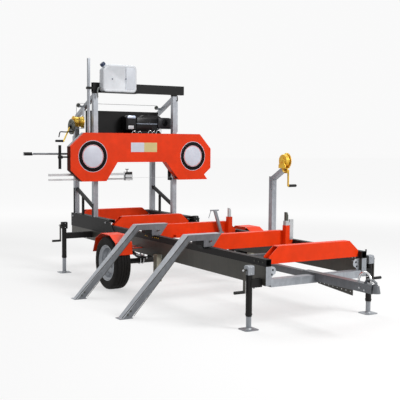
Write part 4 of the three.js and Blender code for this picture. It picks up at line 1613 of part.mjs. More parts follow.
add("idler_wheel", idlerWheel(), BRIGHT_STEEL);
add("idler_slide", idlerSlide(), BRIGHT_STEEL);
add("tension_handle", tensionHandle(), BLACK);
add("guide_arm", guideArm(), BRIGHT_STEEL);
add("saw_blade", sawBlade(), BRIGHT_STEEL);
add("drive_belt", driveBelt(), BELT_RUBBER);

// The origin lies on the ground under the middle of the whole machine
const bounds = new THREE.Box3().setFromObject(mill);
const middle = bounds.getCenter(new THREE.Vector3());
mill.position.set(-middle.x, -middle.y, -bounds.min.z);

export default mill;
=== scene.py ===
"""Looks of the portable sawmill: materials for the CAD nodes, and the fine pieces that ride on its bodies."""
import json
import math

import bmesh
import bpy
from mathutils import Matrix, Vector

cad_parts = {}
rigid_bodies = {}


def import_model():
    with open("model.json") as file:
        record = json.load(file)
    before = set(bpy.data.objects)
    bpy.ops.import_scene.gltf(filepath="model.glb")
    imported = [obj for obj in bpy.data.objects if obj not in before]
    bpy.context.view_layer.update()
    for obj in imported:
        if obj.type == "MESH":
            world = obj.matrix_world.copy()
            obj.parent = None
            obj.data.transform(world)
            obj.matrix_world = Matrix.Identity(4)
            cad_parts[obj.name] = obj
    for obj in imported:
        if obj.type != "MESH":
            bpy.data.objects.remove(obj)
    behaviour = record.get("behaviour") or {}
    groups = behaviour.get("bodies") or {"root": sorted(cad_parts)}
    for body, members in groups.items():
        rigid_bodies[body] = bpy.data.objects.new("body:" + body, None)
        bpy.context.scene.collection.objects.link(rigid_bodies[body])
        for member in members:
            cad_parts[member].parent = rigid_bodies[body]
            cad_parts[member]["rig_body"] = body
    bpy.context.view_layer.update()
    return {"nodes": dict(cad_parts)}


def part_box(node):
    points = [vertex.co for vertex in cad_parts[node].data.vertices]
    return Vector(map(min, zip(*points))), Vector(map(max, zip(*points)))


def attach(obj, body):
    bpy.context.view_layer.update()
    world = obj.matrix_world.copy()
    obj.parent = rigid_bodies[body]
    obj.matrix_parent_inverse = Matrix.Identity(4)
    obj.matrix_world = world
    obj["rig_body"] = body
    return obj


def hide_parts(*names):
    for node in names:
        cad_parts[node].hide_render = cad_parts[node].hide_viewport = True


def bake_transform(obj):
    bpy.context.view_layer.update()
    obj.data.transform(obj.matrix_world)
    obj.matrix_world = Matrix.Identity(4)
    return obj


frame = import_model()
nodes = frame["nodes"]

# The bed's own layout, in millimetres from the front bunk's front face on the ground, is what every place is given in
bunk_low, bunk_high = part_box("bunk_1")
ORIGIN = Vector(((bunk_low.x + bunk_high.x) / 2, bunk_low.y, 0))
MM = 0.001
SIDES = {"left": -1, "right": 1}

# Worn radius of edges, how far a skin lies outside its node, and the reach that joins two points, in metres
WORN_EDGE = 0.0016
SKIN_GAP = 0.0005
MERGE = 1e-6

# Faces that meet at less than this many degrees are shaded as one, and a worn edge starts a little above it
SHARP = 34
SHARP_MARGIN = 6

# Directions, and places in the layout
X, Y, Z = (1, 0, 0), (0, 1, 0), (0, 0, 1)
LEFT, FRONT, DOWN = (-1, 0, 0), (0, -1, 0), (0, 0, -1)
BUNK_FRONTS = [0, 1010, 2090, 3170, 4250]
RAMP_FRONTS = {"front": 930, "rear": 2010}
JACKS = {"front": (700, 40, 0), "rear": (950, 3720, 65)}
JACK_BOTTOM = 486
WHEEL = (900, 2405, 295)
SPRING_X = 555
POST_X = 565
POST_YS = (3650, 4250)
COVER_FRONT = 3500
LIFT_DRUM = (3950, 1880)
LIFT_CRANK = (3950, 1816.6)
LOG_DRUM = (1300, 1440)


def at(x, y, z):
    return ORIGIN + Vector((x, y, z)) * MM


# Materials


class Wire:
    """A value among nodes; arithmetic on it adds Math nodes."""

    def __init__(self, tree, socket):
        self.tree = tree
        self.socket = socket

    def math(self, operation, first, second):
        return self.tree.node("ShaderNodeMath", {"operation": operation}, {0: first, 1: second})

    def __add__(self, other):
        return self.math("ADD", self, other)

    __radd__ = __add__

    def __sub__(self, other):
        return self.math("SUBTRACT", self, other)

    def __rsub__(self, other):
        return self.math("SUBTRACT", other, self)

    def __mul__(self, other):
        return self.math("MULTIPLY", self, other)

    __rmul__ = __mul__

    def top(self, other):
        return self.math("MAXIMUM", self, other)

    def step(self, low, high):
        """0 below low, 1 above high, smooth between."""
        settings = {"interpolation_type": "SMOOTHSTEP"}
        sockets = {"Value": self, "From Min": low, "From Max": high, "To Min": 0.0, "To Max": 1.0}
        return self.tree.node("ShaderNodeMapRange", settings, sockets)


class Tree:
    """The nodes of a material or of the world; sockets are given numbers, colours or wires."""

    def __init__(self, owner):
        owner.use_nodes = True
        self.owner = owner
        self.nodes = owner.node_tree.nodes
        self.links = owner.node_tree.links

    def node(self, kind, settings, sockets, output=0):
        made = self.nodes.new(kind)
        for key, value in settings.items():
            setattr(made, key, value)
        for key, value in sockets.items():
            self.feed(made.inputs[key], value)
        return Wire(self, made.outputs[output])

    def feed(self, socket, value):
        if isinstance(value, Wire):
            self.links.new(value.socket, socket)
        elif isinstance(value, tuple) and len(value) == 3 and socket.type == "RGBA":
            socket.default_value = (*value, 1)
        else:
            socket.default_value = value


class Shade(Tree):
    """A new material, with the patterns that its finish is mixed from."""

    def __init__(self, name):
        super().__init__(bpy.data.materials.new(name))
        self.shader = self.nodes["Principled BSDF"]
        self.object = self.node("ShaderNodeTexCoord", {}, {}, "Object")

    def set(self, **inputs):
        for key, value in inputs.items():
            self.feed(self.shader.inputs[key.replace("_", " ")], value)
        return self.owner

    def axis(self, name):
        return self.node("ShaderNodeSeparateXYZ", {}, {0: self.object}, "XYZ".index(name))

    def stretched(self, x, y, z):
        return self.node("ShaderNodeVectorMath", {"operation": "MULTIPLY"}, {0: self.object, 1: (x, y, z)})

    def noise(self, scale, detail, rough=0.55, along=None):
        sockets = {"Vector": along or self.object, "Scale": scale, "Detail": detail, "Roughness": rough}
        return self.node("ShaderNodeTexNoise", {}, sockets)

    def cells(self, scale):
        return self.node("ShaderNodeTexVoronoi", {}, {"Vector": self.object, "Scale": scale}, "Color")

    def grey(self, colour):
        return self.node("ShaderNodeRGBToBW", {}, {0: colour})

    def mix(self, factor, first, second):
        return self.node("ShaderNodeMix", {"data_type": "RGBA"}, {0: factor, 6: first, 7: second}, 2)

    def bump(self, height, strength, distance):
        return self.node("ShaderNodeBump", {}, {"Height": height, "Strength": strength, "Distance": distance})


def tint(colour, share):
    return tuple(min(c * share, 1) for c in colour)


def paint(name, colour, rough, dust, gloss):
    """Powder coat: slight mottling, orange peel, and dust that gathers low down and in patches."""
    s = Shade(name)
    mottle = s.noise(6.0, 4.0)
    fine = s.noise(45.0, 2.0)
    base = s.mix(mottle.step(0.3, 0.75), tint(colour, 0.9), tint(colour, 1.07))
    low = 1 - s.axis("Z").step(0.1, 0.95)
    dirt = (s.noise(14.0, 5.0, 0.65).step(0.48, 0.8) * 0.55 + low * 0.45) * dust
    base = s.mix(dirt, base, (0.33, 0.29, 0.24))
    peel = s.noise(520.0, 1.0)
    return s.set(
        Base_Color=base,
        Roughness=rough + dirt * 0.35 + fine * 0.08,
        Specular_IOR_Level=gloss,
        Normal=s.bump(peel, 0.09, 0.0004),
    )


def galvanised(name, shade=1.0, spangle=34.0, depth=0.12, warm=0.0):
    """Hot-dip zinc: faint angular spangle, dull patches and runs down the sheet."""
    s = Shade(name)
    flake = s.grey(s.cells(spangle))
    broad = s.noise(2.4, 4.0)
    runs = s.noise(1.0, 4.0, along=s.stretched(30.0, 30.0, 1.8))
    tone = broad * 0.55 + runs * 0.3 + flake * depth
    dark = tint((0.27 + warm * 0.05, 0.285 + warm * 0.02, 0.31 - warm * 0.04), shade)
    light = tint((0.43 + warm * 0.07, 0.455 + warm * 0.02, 0.49 - warm * 0.09), shade)
    base = s.mix(tone.step(0.3, 0.75), dark, light)
    stain = s.noise(21.0, 5.0, 0.7).step(0.62, 0.84) * 0.2
    base = s.mix(stain, base, tint((0.50, 0.49, 0.45), shade))
    return s.set(
        Base_Color=base,
        Roughness=0.36 + flake * 0.08 + stain * 0.35,
        Metallic=0.45,
        Normal=s.bump(flake * 0.4 + s.noise(160.0, 2.0) * 0.5, 0.05, 0.0006),
    )


def brushed(name, colour, along=(6.0, 220.0, 220.0), rough=0.28):
    """Machined or rolled steel with fine lines along one direction."""
    s = Shade(name)
    lines = s.noise(1.0, 3.0, along=s.stretched(*along))
    patch = s.noise(9.0, 3.0)
    base = s.mix(patch.step(0.25, 0.8), tint(colour, 0.82), colour)
    return s.set(
        Base_Color=base,
        Roughness=rough + lines * 0.14 + patch * 0.06,
        Metallic=0.92,
        Normal=s.bump(lines, 0.12, 0.0004),
    )


def zinc_yellow(name):
    """Yellow passivated zinc: gold with green and rose patches."""
    s = Shade(name)
    drift = s.noise(11.0, 3.0)
    base = s.mix(drift.step(0.3, 0.7), (0.80, 0.46, 0.03), (0.86, 0.60, 0.10))
    base = s.mix(s.noise(24.0, 2.0).step(0.62, 0.8) * 0.4, base, (0.62, 0.34, 0.10))
    return s.set(
        Base_Color=base, Roughness=0.26 + drift * 0.16, Metallic=0.6, Normal=s.bump(s.noise(300.0, 1.0), 0.08, 0.0004)
    )


def rubber(name, colour=(0.007, 0.0062, 0.006), rough=0.72, dust=0.06):
    s = Shade(name)
    patch = s.noise(18.0, 5.0, 0.65)
    low = 1 - s.axis("Z").step(0.0, 0.5)
    dirt = (patch.step(0.45, 0.8) * 0.6 + low * 0.4) * dust
    return s.set(
        Base_Color=s.mix(dirt, colour, (0.20, 0.18, 0.15)),
        Roughness=rough + patch * 0.12,
        Specular_IOR_Level=0.22,
        Normal=s.bump(s.noise(380.0, 2.0), 0.14, 0.0005),
    )


def plastic(name, colour, rough=0.36, grain=420.0, depth=0.12, thin=0.0, gloss=0.5):
    s = Shade(name)
    patch = s.noise(8.0, 3.0)
    return s.set(
        Base_Color=s.mix(patch.step(0.3, 0.8), tint(colour, 0.93), tint(colour, 1.03)),
        Roughness=rough + patch * 0.08,
        Specular_IOR_Level=gloss,
        Subsurface_Weight=thin,
        Subsurface_Radius=(0.02, 0.02, 0.02),
        Normal=s.bump(s.noise(grain, 2.0), depth, 0.0004),
    )


def cast(name, colour, rough=0.45):
    """Sand-cast aluminium."""
    s = Shade(name)
    grain = s.noise(240.0, 4.0, 0.6)
    patch = s.noise(12.0, 3.0)
    return s.set(
        Base_Color=s.mix(patch.step(0.3, 0.8), tint(colour, 0.8), colour),
        Roughness=rough + grain * 0.15,
        Metallic=0.75,
        Normal=s.bump(grain, 0.3, 0.0006),
    )


def wire_rope(name):
    """Seven-strand rope: the lay shows as slanting dark lines."""
    s = Shade(name)
    slant = s.axis("Z") + s.axis("X") * 1.4 + s.axis("Y") * 1.2
    lay = s.node("ShaderNodeMath", {"operation": "SINE"}, {0: slant * 1100.0}) * 0.5 + 0.5
    return s.set(
        Base_Color=s.mix(lay, (0.16, 0.16, 0.17), (0.52, 0.53, 0.54)),
        Roughness=0.36,
        Metallic=0.8,
        Normal=s.bump(lay, 0.5, 0.0006),
    )


ORANGE = paint("orange_powder_coat", (0.90, 0.046, 0.001), rough=0.38, dust=0.02, gloss=0.22)
BLACK = paint("black_powder_coat", (0.0062, 0.006, 0.0064), rough=0.5, dust=0.03, gloss=0.22)
# Dark red of painted shade, for the cover's left and lower walls, which face away from the light
SHADE_RED = paint("red_painted_shade", (0.085, 0.012, 0.004), rough=0.6, dust=0.0, gloss=0.06)
ZINC = galvanised("hot_dip_zinc", 1.12)
# Zinc darkened far below its own tone: painted shade on the beams' sides and along the ramps' folds; the jack cranks
# and the pin plate under the sleeve share it
ZINC_IN_SHADE = galvanised("zinc_painted_shade", 0.17, warm=1.0)
ZINC_MID = galvanised("sleeve_zinc", 0.46)
# Lit and shaded copies of one zinc, as painted light and shade: the ramps' front sides darker, their tops and the
# gussets brighter
ZINC_SIDE_SHADE = galvanised("ramp_side_painted_shade", 0.56)
ZINC_LIT = galvanised("zinc_painted_light", 1.3)
ZINC_WARM = cast("socket_zinc", (0.46, 0.43, 0.34), 0.3)
ZINC_FINE = galvanised("zinc_plate", 1.0, 150.0, 0.08)
STEEL = brushed("rolled_steel", (0.56, 0.57, 0.58))
BOLT = brushed("bolt_zinc", (0.62, 0.63, 0.65), along=(60.0, 60.0, 300.0))
CHROME = brushed("bright_chrome", (0.78, 0.79, 0.80), along=(20.0, 20.0, 20.0), rough=0.08)
GOLD = zinc_yellow("yellow_zinc")
TYRE = rubber("tyre_rubber")
SMOKED = brushed("smoked_steel", (0.11, 0.115, 0.10), along=(20.0, 20.0, 20.0), rough=0.34)
GLOSSY = plastic("polished_shroud", (0.004, 0.004, 0.005), 0.12, depth=0.02, gloss=0.25)
SOOT = plastic("filter_plastic", (0.014, 0.014, 0.018), 0.34, grain=260.0, gloss=0.3)
# Silver-blue for painted highlights on the engine's glossy black
SILVER_HIGHLIGHT = brushed("silver_trim", (0.50, 0.56, 0.68), along=(30.0, 30.0, 30.0), rough=0.22)
GRIP = rubber("grip_rubber", (0.012, 0.012, 0.012), 0.5, 0.05)
BELT = rubber("belt_rubber", (0.02, 0.02, 0.021), 0.62, 0.12)
WHITE = plastic("tank_plastic", (0.76, 0.79, 0.83), 0.34, thin=0.08)
# A cooler, darker copy of the tank's white: painted shade on its crease and right half
WHITE_SHADE = plastic("tank_painted_shade", (0.72, 0.76, 0.82), 0.34, thin=0.08)
HOSE = rubber("hose_rubber", (0.30, 0.32, 0.31), 0.5, 0.03)
BLUE = plastic("cap_plastic", (0.02, 0.04, 0.10), 0.3)
DARK = plastic("engine_shroud", (0.006, 0.006, 0.007), 0.26, gloss=0.25)
CAST = cast("cast_aluminium", (0.50, 0.51, 0.53))
ROPE = wire_rope("lift_rope")
PALE = plastic("badge_pale", (0.74, 0.77, 0.87), 0.3, grain=900.0, depth=0.02, gloss=0.3)
RING = plastic("badge_ring", (0.008, 0.005, 0.005), 0.5, grain=900.0, depth=0.02, gloss=0.08)
CREAM = plastic("plate_cream", (0.74, 0.60, 0.26), 0.34, grain=900.0, depth=0.02)
WELD = cast("weld_bead", (0.40, 0.41, 0.43), 0.5)

# Finishes of the CAD nodes
FINISH = {
    ORANGE: ["bunk_1", "bunk_2", "bunk_3", "bunk_4", "bunk_5", "left_mudguard", "right_mudguard", "front_cover"],
    ZINC: ["front_cross_tube", "log_winch_post", "left_post_frame", "right_post_frame"],
    ZINC_LIT: ["front_ramp", "rear_ramp"],
    ZINC_MID: ["inner_drawbar", "drawbar_sleeve"],
    # The beams' zinc is darkened as painted shade
    ZINC_IN_SHADE: ["left_beam", "right_beam"],
    BLACK: ["left_rail", "right_rail", "axle", "left_sole", "right_sole", "top_beam", "head_frame", "tension_handle"],
    STEEL: ["saw_blade", "drive_wheel", "idler_wheel", "idler_slide", "guide_arm", "front_log_stop", "rear_log_stop"],
    ZINC_FINE: ["log_clamp"],
    GOLD: ["lift_drum", "lift_crank", "log_winch_drum", "log_winch_crank"],
    DARK: ["engine"],
    BELT: ["drive_belt"],
    TYRE: ["left_road_wheel", "right_road_wheel"],
    WHITE: ["water_tank"],
    ROPE: ["lift_cable"],
}
for end in ("front", "rear"):
    for side in SIDES:
        FINISH[BLACK].append(f"{end}_{side}_jack")
        FINISH[ZINC_FINE].append(f"{end}_{side}_jack_leg")
        FINISH[ZINC_IN_SHADE].append(f"{end}_{side}_jack_crank")
        FINISH[STEEL].append(f"{side}_{end}_roller")


def soften(obj, angle=SHARP, bevel=0.0):
    """Smooth faces that meet gently, keep the others crisp, with a small worn radius on their edges."""
    mesh = obj.data
    mesh.polygons.foreach_set("use_smooth", [True] * len(mesh.polygons))
    mesh.set_sharp_from_angle(angle=math.radians(angle))
    if bevel:
        made = obj.modifiers.new("edge", "BEVEL")
        made.width = bevel
        made.segments = 2
        made.limit_method = "ANGLE"
        made.angle_limit = math.radians(angle + SHARP_MARGIN)
        made.harden_normals = True
        made.use_clamp_overlap = True


# Thin nodes that a worn edge would eat into
FINE = {"saw_blade", "lift_cable", "drive_belt"}
for material, names in FINISH.items():
    for name in names:
        nodes[name].data.materials.clear()
        nodes[name].data.materials.append(material)
        soften(nodes[name], bevel=0 if name in FINE else WORN_EDGE)


# Another finish over one part of a node


def skin(name, material, node, low, high):
    """The faces of a node that lie in a layout box, laid a hair outside it in another finish."""
    low, high = at(*low), at(*high)
    work = bmesh.new()
    work.from_mesh(nodes[node].data)
    bmesh.ops.remove_doubles(work, verts=work.verts, dist=MERGE)
    inside = {v: all(low[i] <= v.co[i] <= high[i] for i in range(3)) for v in work.verts}
    bmesh.ops.delete(work, geom=[f for f in work.faces if not all(inside[v] for v in f.verts)], context="FACES")
    work.normal_update()
    for vert in work.verts:
        vert.co += vert.normal * SKIN_GAP
    mesh = bpy.data.meshes.new(name)
    work.to_mesh(mesh)
    work.free()
    mesh.materials.append(material)
    obj = bpy.data.objects.new(name, mesh)
    bpy.context.scene.collection.objects.link(obj)
    soften(obj, bevel=WORN_EDGE)
    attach(obj, nodes[node]["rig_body"])


skin("height_scale", ZINC, "head_frame", (-666, 3633, 1638), (-632, 3667, 2662))
skin("push_rod", STEEL, "head_frame", (-1475, 3705, 1445), (-719, 3770, 1505))
skin("rear_left_sleeve", ZINC, "head_frame", (-612, 4202, 1380), (-518, 4300, 1800))
skin("lift_winch_cheek", GOLD, "left_post_frame", (-737, 3895, 1780), (-727, 4005, 1925))
skin("lift_winch_bracket", ZINC_FINE, "left_post_frame", (-726, 3895, 1780), (-597, 4005, 2066))
skin("left_sheave_finish", SMOKED, "left_post_frame", (-680, 3975, 2060), (-600, 4010, 2120))
skin("right_sheave_finish", SMOKED, "right_post_frame", (440, 3975, 2060), (530, 4010, 2120))
skin("lift_gear_disc", SMOKED, "lift_crank", (-756, 3850, 1717), (-742, 4050, 1916))
skin("log_winch_cheeks", GOLD, "log_winch_post", (583, 1238, 1300), (648, 1362, 1475))
skin("guide_pin_plate", ZINC_IN_SHADE, "drawbar_sleeve", (-5, -520, 300), (5, -50, 390))
skin("coupler_shell", ZINC_MID, "drawbar_sleeve", (-40, -850, 386), (40, -740, 470))
# The ramps' front sides in the darker copy of the zinc: painted shade
skin("front_ramp_side_shade", ZINC_SIDE_SHADE, "front_ramp", (-1530, 928, -1), (-410, 932, 750))
skin("rear_ramp_side_shade", ZINC_SIDE_SHADE, "rear_ramp", (-1530, 2008, -1), (-410, 2012, 750))
skin("front_stop_blade", SMOKED, "front_log_stop", (399, 955, 600), (432, 1010, 920))
for side, s in SIDES.items():
    x = s * JACKS["front"][0]
    skin(f"front_{side}_jack_cap", ZINC_FINE, f"front_{side}_jack", (x - 34, 5, 484), (x + 34, 75, 569))
    x = s * 614
    skin(f"{side}_leg_socket", ZINC_WARM, f"{side}_beam", (x - 31, 1848, 139), (x + 31, 1932, 431))


# Mesh building


class Build:
    """Gathers faces, in layout millimetres, for one piece."""

    def __init__(self):
        self.points = []
        self.faces = []

    def add(self, points, faces):
        start = len(self.points)
        self.points += [Vector(p) for p in points]
        self.faces += [[start + i for i in face] for face in faces]
        return self

    def box(self, x, y, z):
        corners = [(a, b, c) for a in sorted(x) for b in sorted(y) for c in sorted(z)]
        return self.add(corners, [(0, 1, 3, 2), (4, 6, 7, 5), (0, 4, 5, 1), (2, 3, 7, 6), (0, 2, 6, 4), (1, 5, 7, 3)])

    def rings(self, rings, closed=False, caps=True):
        """Skins rings of equally many points, one after another."""
        count = len(rings[0])
        faces = []
        for i in range(len(rings) if closed else len(rings) - 1):
            a, b = i * count, ((i + 1) % len(rings)) * count
            faces += [(a + k, a + (k + 1) % count, b + (k + 1) % count, b + k) for k in range(count)]
        if caps and not closed:
            faces += [tuple(reversed(range(count))), tuple((len(rings) - 1) * count + k for k in range(count))]
        return self.add([p for ring in rings for p in ring], faces)

    def turn(self, centre, axis, profile, sides=32):
        """Turns (radius, distance) points about an axis through centre, with open ends."""
        axis = Vector(axis).normalized()
        across = axis.orthogonal().normalized()
        other = axis.cross(across)
        centre = Vector(centre)
        rings = []
        for radius, along in profile:
            ring = []
            for k in range(sides):
                angle = math.tau * k / sides
                ring.append(centre + axis * along + (across * math.cos(angle) + other * math.sin(angle)) * radius)
            rings.append(ring)
        return self.rings(rings, caps=False)

    def tube(self, points, radius, sides=12, closed=False):
        points = [Vector(p) for p in points]
        count = len(points)
        rings = []
        normal = None
        for i, p in enumerate(points):
            after = points[(i + 1) % count] if closed else points[min(i + 1, count - 1)]
            before = points[i - 1] if closed else points[max(i - 1, 0)]
            heading = (after - before).normalized()
            normal = heading.orthogonal() if normal is None else normal - heading * normal.dot(heading)
            normal.normalize()
            other = heading.cross(normal)
            r = radius(i / max(count - 1, 1)) if callable(radius) else radius
            angles = [math.tau * k / sides for k in range(sides)]
            rings.append([p + (normal * math.cos(a) + other * math.sin(a)) * r for a in angles])
        return self.rings(rings, closed)

    def slab(self, outline, axis, span):
        """An outline in the plane across an axis, in the order of the other two, drawn out along it."""
        place = {"x": lambda a, b, t: (t, a, b), "y": lambda a, b, t: (a, t, b), "z": lambda a, b, t: (a, b, t)}[axis]
        return self.rings([[place(a, b, t) for a, b in outline] for t in span])

    def hexagon(self, centre, axis, size, tall=0.6):
        """A hexagon bolt head or nut standing on a face, on its washer, with the bolt's end."""
        seat = size * 0.16
        top = seat + size * tall * 2
        end = top + size * 0.3
        self.turn(centre, axis, [(0, 0), (size * 1.05, 0), (size * 1.05, seat), (0, seat)], 18)
        self.turn(centre, axis, [(0, seat), (size, seat), (size, top - size * 0.18), (size * 0.82, top), (0, top)], 6)
        return self.turn(centre, axis, [(0, top), (size * 0.5, top), (size * 0.42, end), (0, end)], 10)

    def bead(self, start, end, radius=3.5):
        """A weld bead with its ripples."""
        start, end = Vector(start), Vector(end)
        steps = max(int((end - start).length / 5), 2)
        points = [start.lerp(end, i / steps) for i in range(steps + 1)]
        wave = [radius * (0.78 + 0.22 * abs(math.sin(i * 1.9))) for i in range(steps + 1)]
        return self.tube(points, lambda t: wave[min(int(t * steps + 0.5), steps)], 8)

    def make(self, name, material, body, slot=None, angle=SHARP, bevel=0.0):
        mesh = bpy.data.meshes.new(name)
        mesh.from_pydata([at(*p) for p in self.points], [], self.faces)
        mesh.validate()
        mesh.materials.append(material)
        obj = bpy.data.objects.new(name, mesh)
        bpy.context.scene.collection.objects.link(obj)
        tidy_normals(mesh)
        soften(obj, angle, bevel)
        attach(obj, body)
        return obj


def tidy_normals(mesh):
    bm = bmesh.new()
    bm.from_mesh(mesh)
    bmesh.ops.remove_doubles(bm, verts=bm.verts, dist=MERGE)
    bmesh.ops.recalc_face_normals(bm, faces=bm.faces)
    bm.to_mesh(mesh)
    bm.free()


def arc(centre, radius, start, end, steps):
    """Points of a circle in the first two coordinates, angles in degrees."""
    turns = [math.radians(start + (end - start) * i / steps) for i in range(steps + 1)]
    return [(centre[0] + radius * math.cos(a), centre[1] + radius * math.sin(a)) for a in turns]


def around(first, second, radius, count, turned=0.0):
    """Equally spaced places on a circle, in two coordinates; turned is a share of one space."""
    angles = [math.tau * (k + turned) / count for k in range(count)]
    return [(first + radius * math.cos(a), second + radius * math.sin(a)) for a in angles]


def ribbed(start, high, low, first, pitch, end, count=9):
    """Profile of a grip: its start, ribs between two radii, and its end."""
    ribs = [(r, first + rise + k * pitch) for k in range(count) for r, rise in ((high, 0), (low, 3))]
    return start + ribs + end


# Road wheels: a treaded tyre on a pressed steel rim


def tyre_piece(name, s):
    sides, swell = 108, 5.3
    cross = [(190, -76), (197, -82), (212, -86), (240, -88), (262, -86.5), (277, -82), (284, -74)]
    cross += [(287, -60), (288, -38), (288.5, -36), (283, -34), (283, -28), (288.8, -26), (289, -6), (283.5, -4)]
    cross += [(283.5, 4)] + [(r, -t) for r, t in reversed(cross[:-1])]
    build = Build()
    rings = []
    for k in range(sides):
        angle = math.tau * k / sides
        ring = []
        for r, t in cross:
            # Cuts across the tread: deep at its shoulders, shallower down its sides, and fine in its middle
            groove = 0
            if r > 286 and abs(t) > 40:
                groove = 4 if k % 4 == 0 else 0
            elif r > 280 and abs(t) > 60:
                groove = 3 if k % 4 == 0 else 0
            elif r > 286:
                groove = 2.5 if (k + (1 if t > 0 else 3)) % 6 == 0 else 0
            reach = r + swell - groove
            ring.append((s * (WHEEL[0] + t), WHEEL[1] + reach * math.cos(angle), WHEEL[2] + reach * math.sin(angle)))
        rings.append(ring)
    build.rings(rings, closed=True)
    for r in (226, 252):
        build.turn((s * WHEEL[0], *WHEEL[1:]), (s, 0, 0), [(r - 2, 86.5), (r, 89), (r + 2, 86.5)], 96)
    return build.make(name, TYRE, name.replace("_tyre", "_road_wheel"), "tyre", angle=40)


def wheel_rim(name, s):
    body = name.replace("_rim", "_road_wheel")
    centre = (s * WHEEL[0], WHEEL[1], WHEEL[2])
    build = Build()
    profile = [(196, 76), (199, 80), (196, 82), (188, 80), (178, 66), (166, 60), (158, 34), (150, 22), (128, 26)]
    profile += [(108, 34), (84, 33), (62, 24), (34, 24), (34, 12), (62, 12), (84, 20), (106, 20), (150, 8), (158, -40)]
    profile += [(166, -62), (188, -80), (196, -82), (199, -78), (192, -70)]
    build.turn(centre, (s, 0, 0), profile, 72)
    for y, z in around(*centre[1:], 117, 12):
        build.turn((centre[0] + s * 28, y, z), (s, 0, 0), [(13, 0), (15, 4), (12, 5), (9, -4)], 14)
    build.make(name, ZINC_FINE, body, "galvanised", angle=30)
    nuts = Build()
    for y, z in around(*centre[1:], 50, 5, 0.5):
        nuts.hexagon((centre[0] + s * 24, y, z), (s, 0, 0), 9.5)
    nuts.turn((centre[0] + s * 24, *centre[1:]), (s, 0, 0), [(0, 0), (33, 0), (33, 26), (29, 32), (0, 34)], 32)
    valve = (centre[0] + s * 66, centre[1] - 176, centre[2])
    nuts.turn(valve, (s, 0, 0), [(0, 0), (4, 0), (4, 16), (3, 18), (0, 18)], 10)
    nuts.make(name.replace("rim", "wheel_nuts"), BOLT, body, "steel")


for side, s in SIDES.items():
    tyre = tyre_piece(f"{side}_tyre", s)
    wheel_rim(f"{side}_rim", s)
    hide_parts(f"{side}_road_wheel")


# Cover: blank badges and plate, walls darkened with painted shade, edge strip and screws


def badge(name, x, r_outer, r_inner):
    z, stretch = 1450, 1.02

    def disc(outer, inner, depth):
        rings = []
        for r, t in ((inner, 0), (inner, depth), (outer - 1, depth), (outer, depth * 0.4), (outer, 0)):
            rings.append([(x + r * c, COVER_FRONT - t, z + r * stretch * s) for c, s in around(0, 0, 1, 72)])
        return Build().rings(rings, caps=False)

    disc(r_outer, r_outer - 5, 0.8).make(name + "_rim", PALE, "head")
    disc(r_outer - 5, r_inner + 9, 0.7).make(name + "_ring", RING, "head")
    disc(r_inner + 9, r_inner + 5, 0.8).make(name + "_line", PALE, "head")
    disc(r_inner + 5, r_inner, 0.75).make(name + "_thread", ORANGE, "head")
    disc(r_inner, 0.001, 0.7).make(name + "_disc", PALE, "head")


badge("left_badge", -657, 192, 132)
badge("right_badge", 773, 188, 128)
Build().box((-137, 50), (COVER_FRONT - 0.8, COVER_FRONT - 0.1), (1503, 1623)).make(
    "pale_plate", PALE, "head", bevel=0.0003
)
Build().box((50.4, 236), (COVER_FRONT - 0.8, COVER_FRONT - 0.1), (1503, 1623)).make(
    "straw_plate", CREAM, "head", bevel=0.0003
)
# The cover's left wall, and a sheet laid on its lower chamfer wall, in painted shade
skin("cover_left_wall", SHADE_RED, "front_cover", (-954, 3495, 1275), (-950, 3610, 1575))
lower_wall = Build().slab([(-952.6, 1280), (-951.4, 1279), (-800.4, 1138.6), (-801.6, 1139)], "y", (3502, 3604))
lower_wall.make("cover_lower_wall", SHADE_RED, "head")
edge_strip = Build().slab([(-953, 1571), (-952, 1569.5), (-766, 1740), (-767, 1741)], "y", (3545, 3605))
edge_strip.make("cover_edge_strip", ZINC_FINE, "head")

screw_places = [(-930, 1560), (-930, 1300), (-780, 1165), (-490, 1165), (570, 1155), (960, 1150), (1032, 1530)]
screw_places += [(1032, 1310)] + [(x, 1725) for x in (-640, -320, 0, 320, 640)] + [(x, 1391) for x in (-200, 25, 250)]
screws = Build()
for x, z in screw_places:
    screws.hexagon((x, COVER_FRONT, z), FRONT, 4.5, 0.4)
screws.make("cover_screws", ORANGE, "head", "orange_paint")


# Engine: recoil cover, shroud, fins, filter box and tubes


def rounded(low, high, radius, steps=6):
    """A rectangle with round corners, as points of its plane; a radius for each corner or one for all."""
    radii = radius if isinstance(radius, tuple) else (radius,) * 4
    (a, b), (c, d) = low, high
    corners = [((a, b), 1, 1, 180), ((c, b), -1, 1, 270), ((c, d), -1, -1, 0), ((a, d), 1, -1, 90)]
    points = []
    for ((x, z), sx, sz, turn), r in zip(corners, radii):
        points += arc((x + sx * r, z + sz * r), r, turn, turn + 90, steps)
    return points


def pillow(build, outline, front, back, steps):
    """An outline in X and Z as a moulded body from front to back, with its rims drawn in by steps."""
    count = len(outline)
    normals = []
    for i in range(count):
        before, after = Vector(outline[i - 1]), Vector(outline[(i + 1) % count])
        along = (after - before).normalized()
        normals.append(Vector((-along.y, along.x)))
    rings = []
    for inset, depth in steps:
        rings.append([(x + n.x * inset, front + depth, z + n.y * inset) for (x, z), n in zip(outline, normals)])
    for inset, depth in reversed(steps):
        rings.append([(x + n.x * inset, back - depth, z + n.y * inset) for (x, z), n in zip(outline, normals)])
    return build.rings(rings)


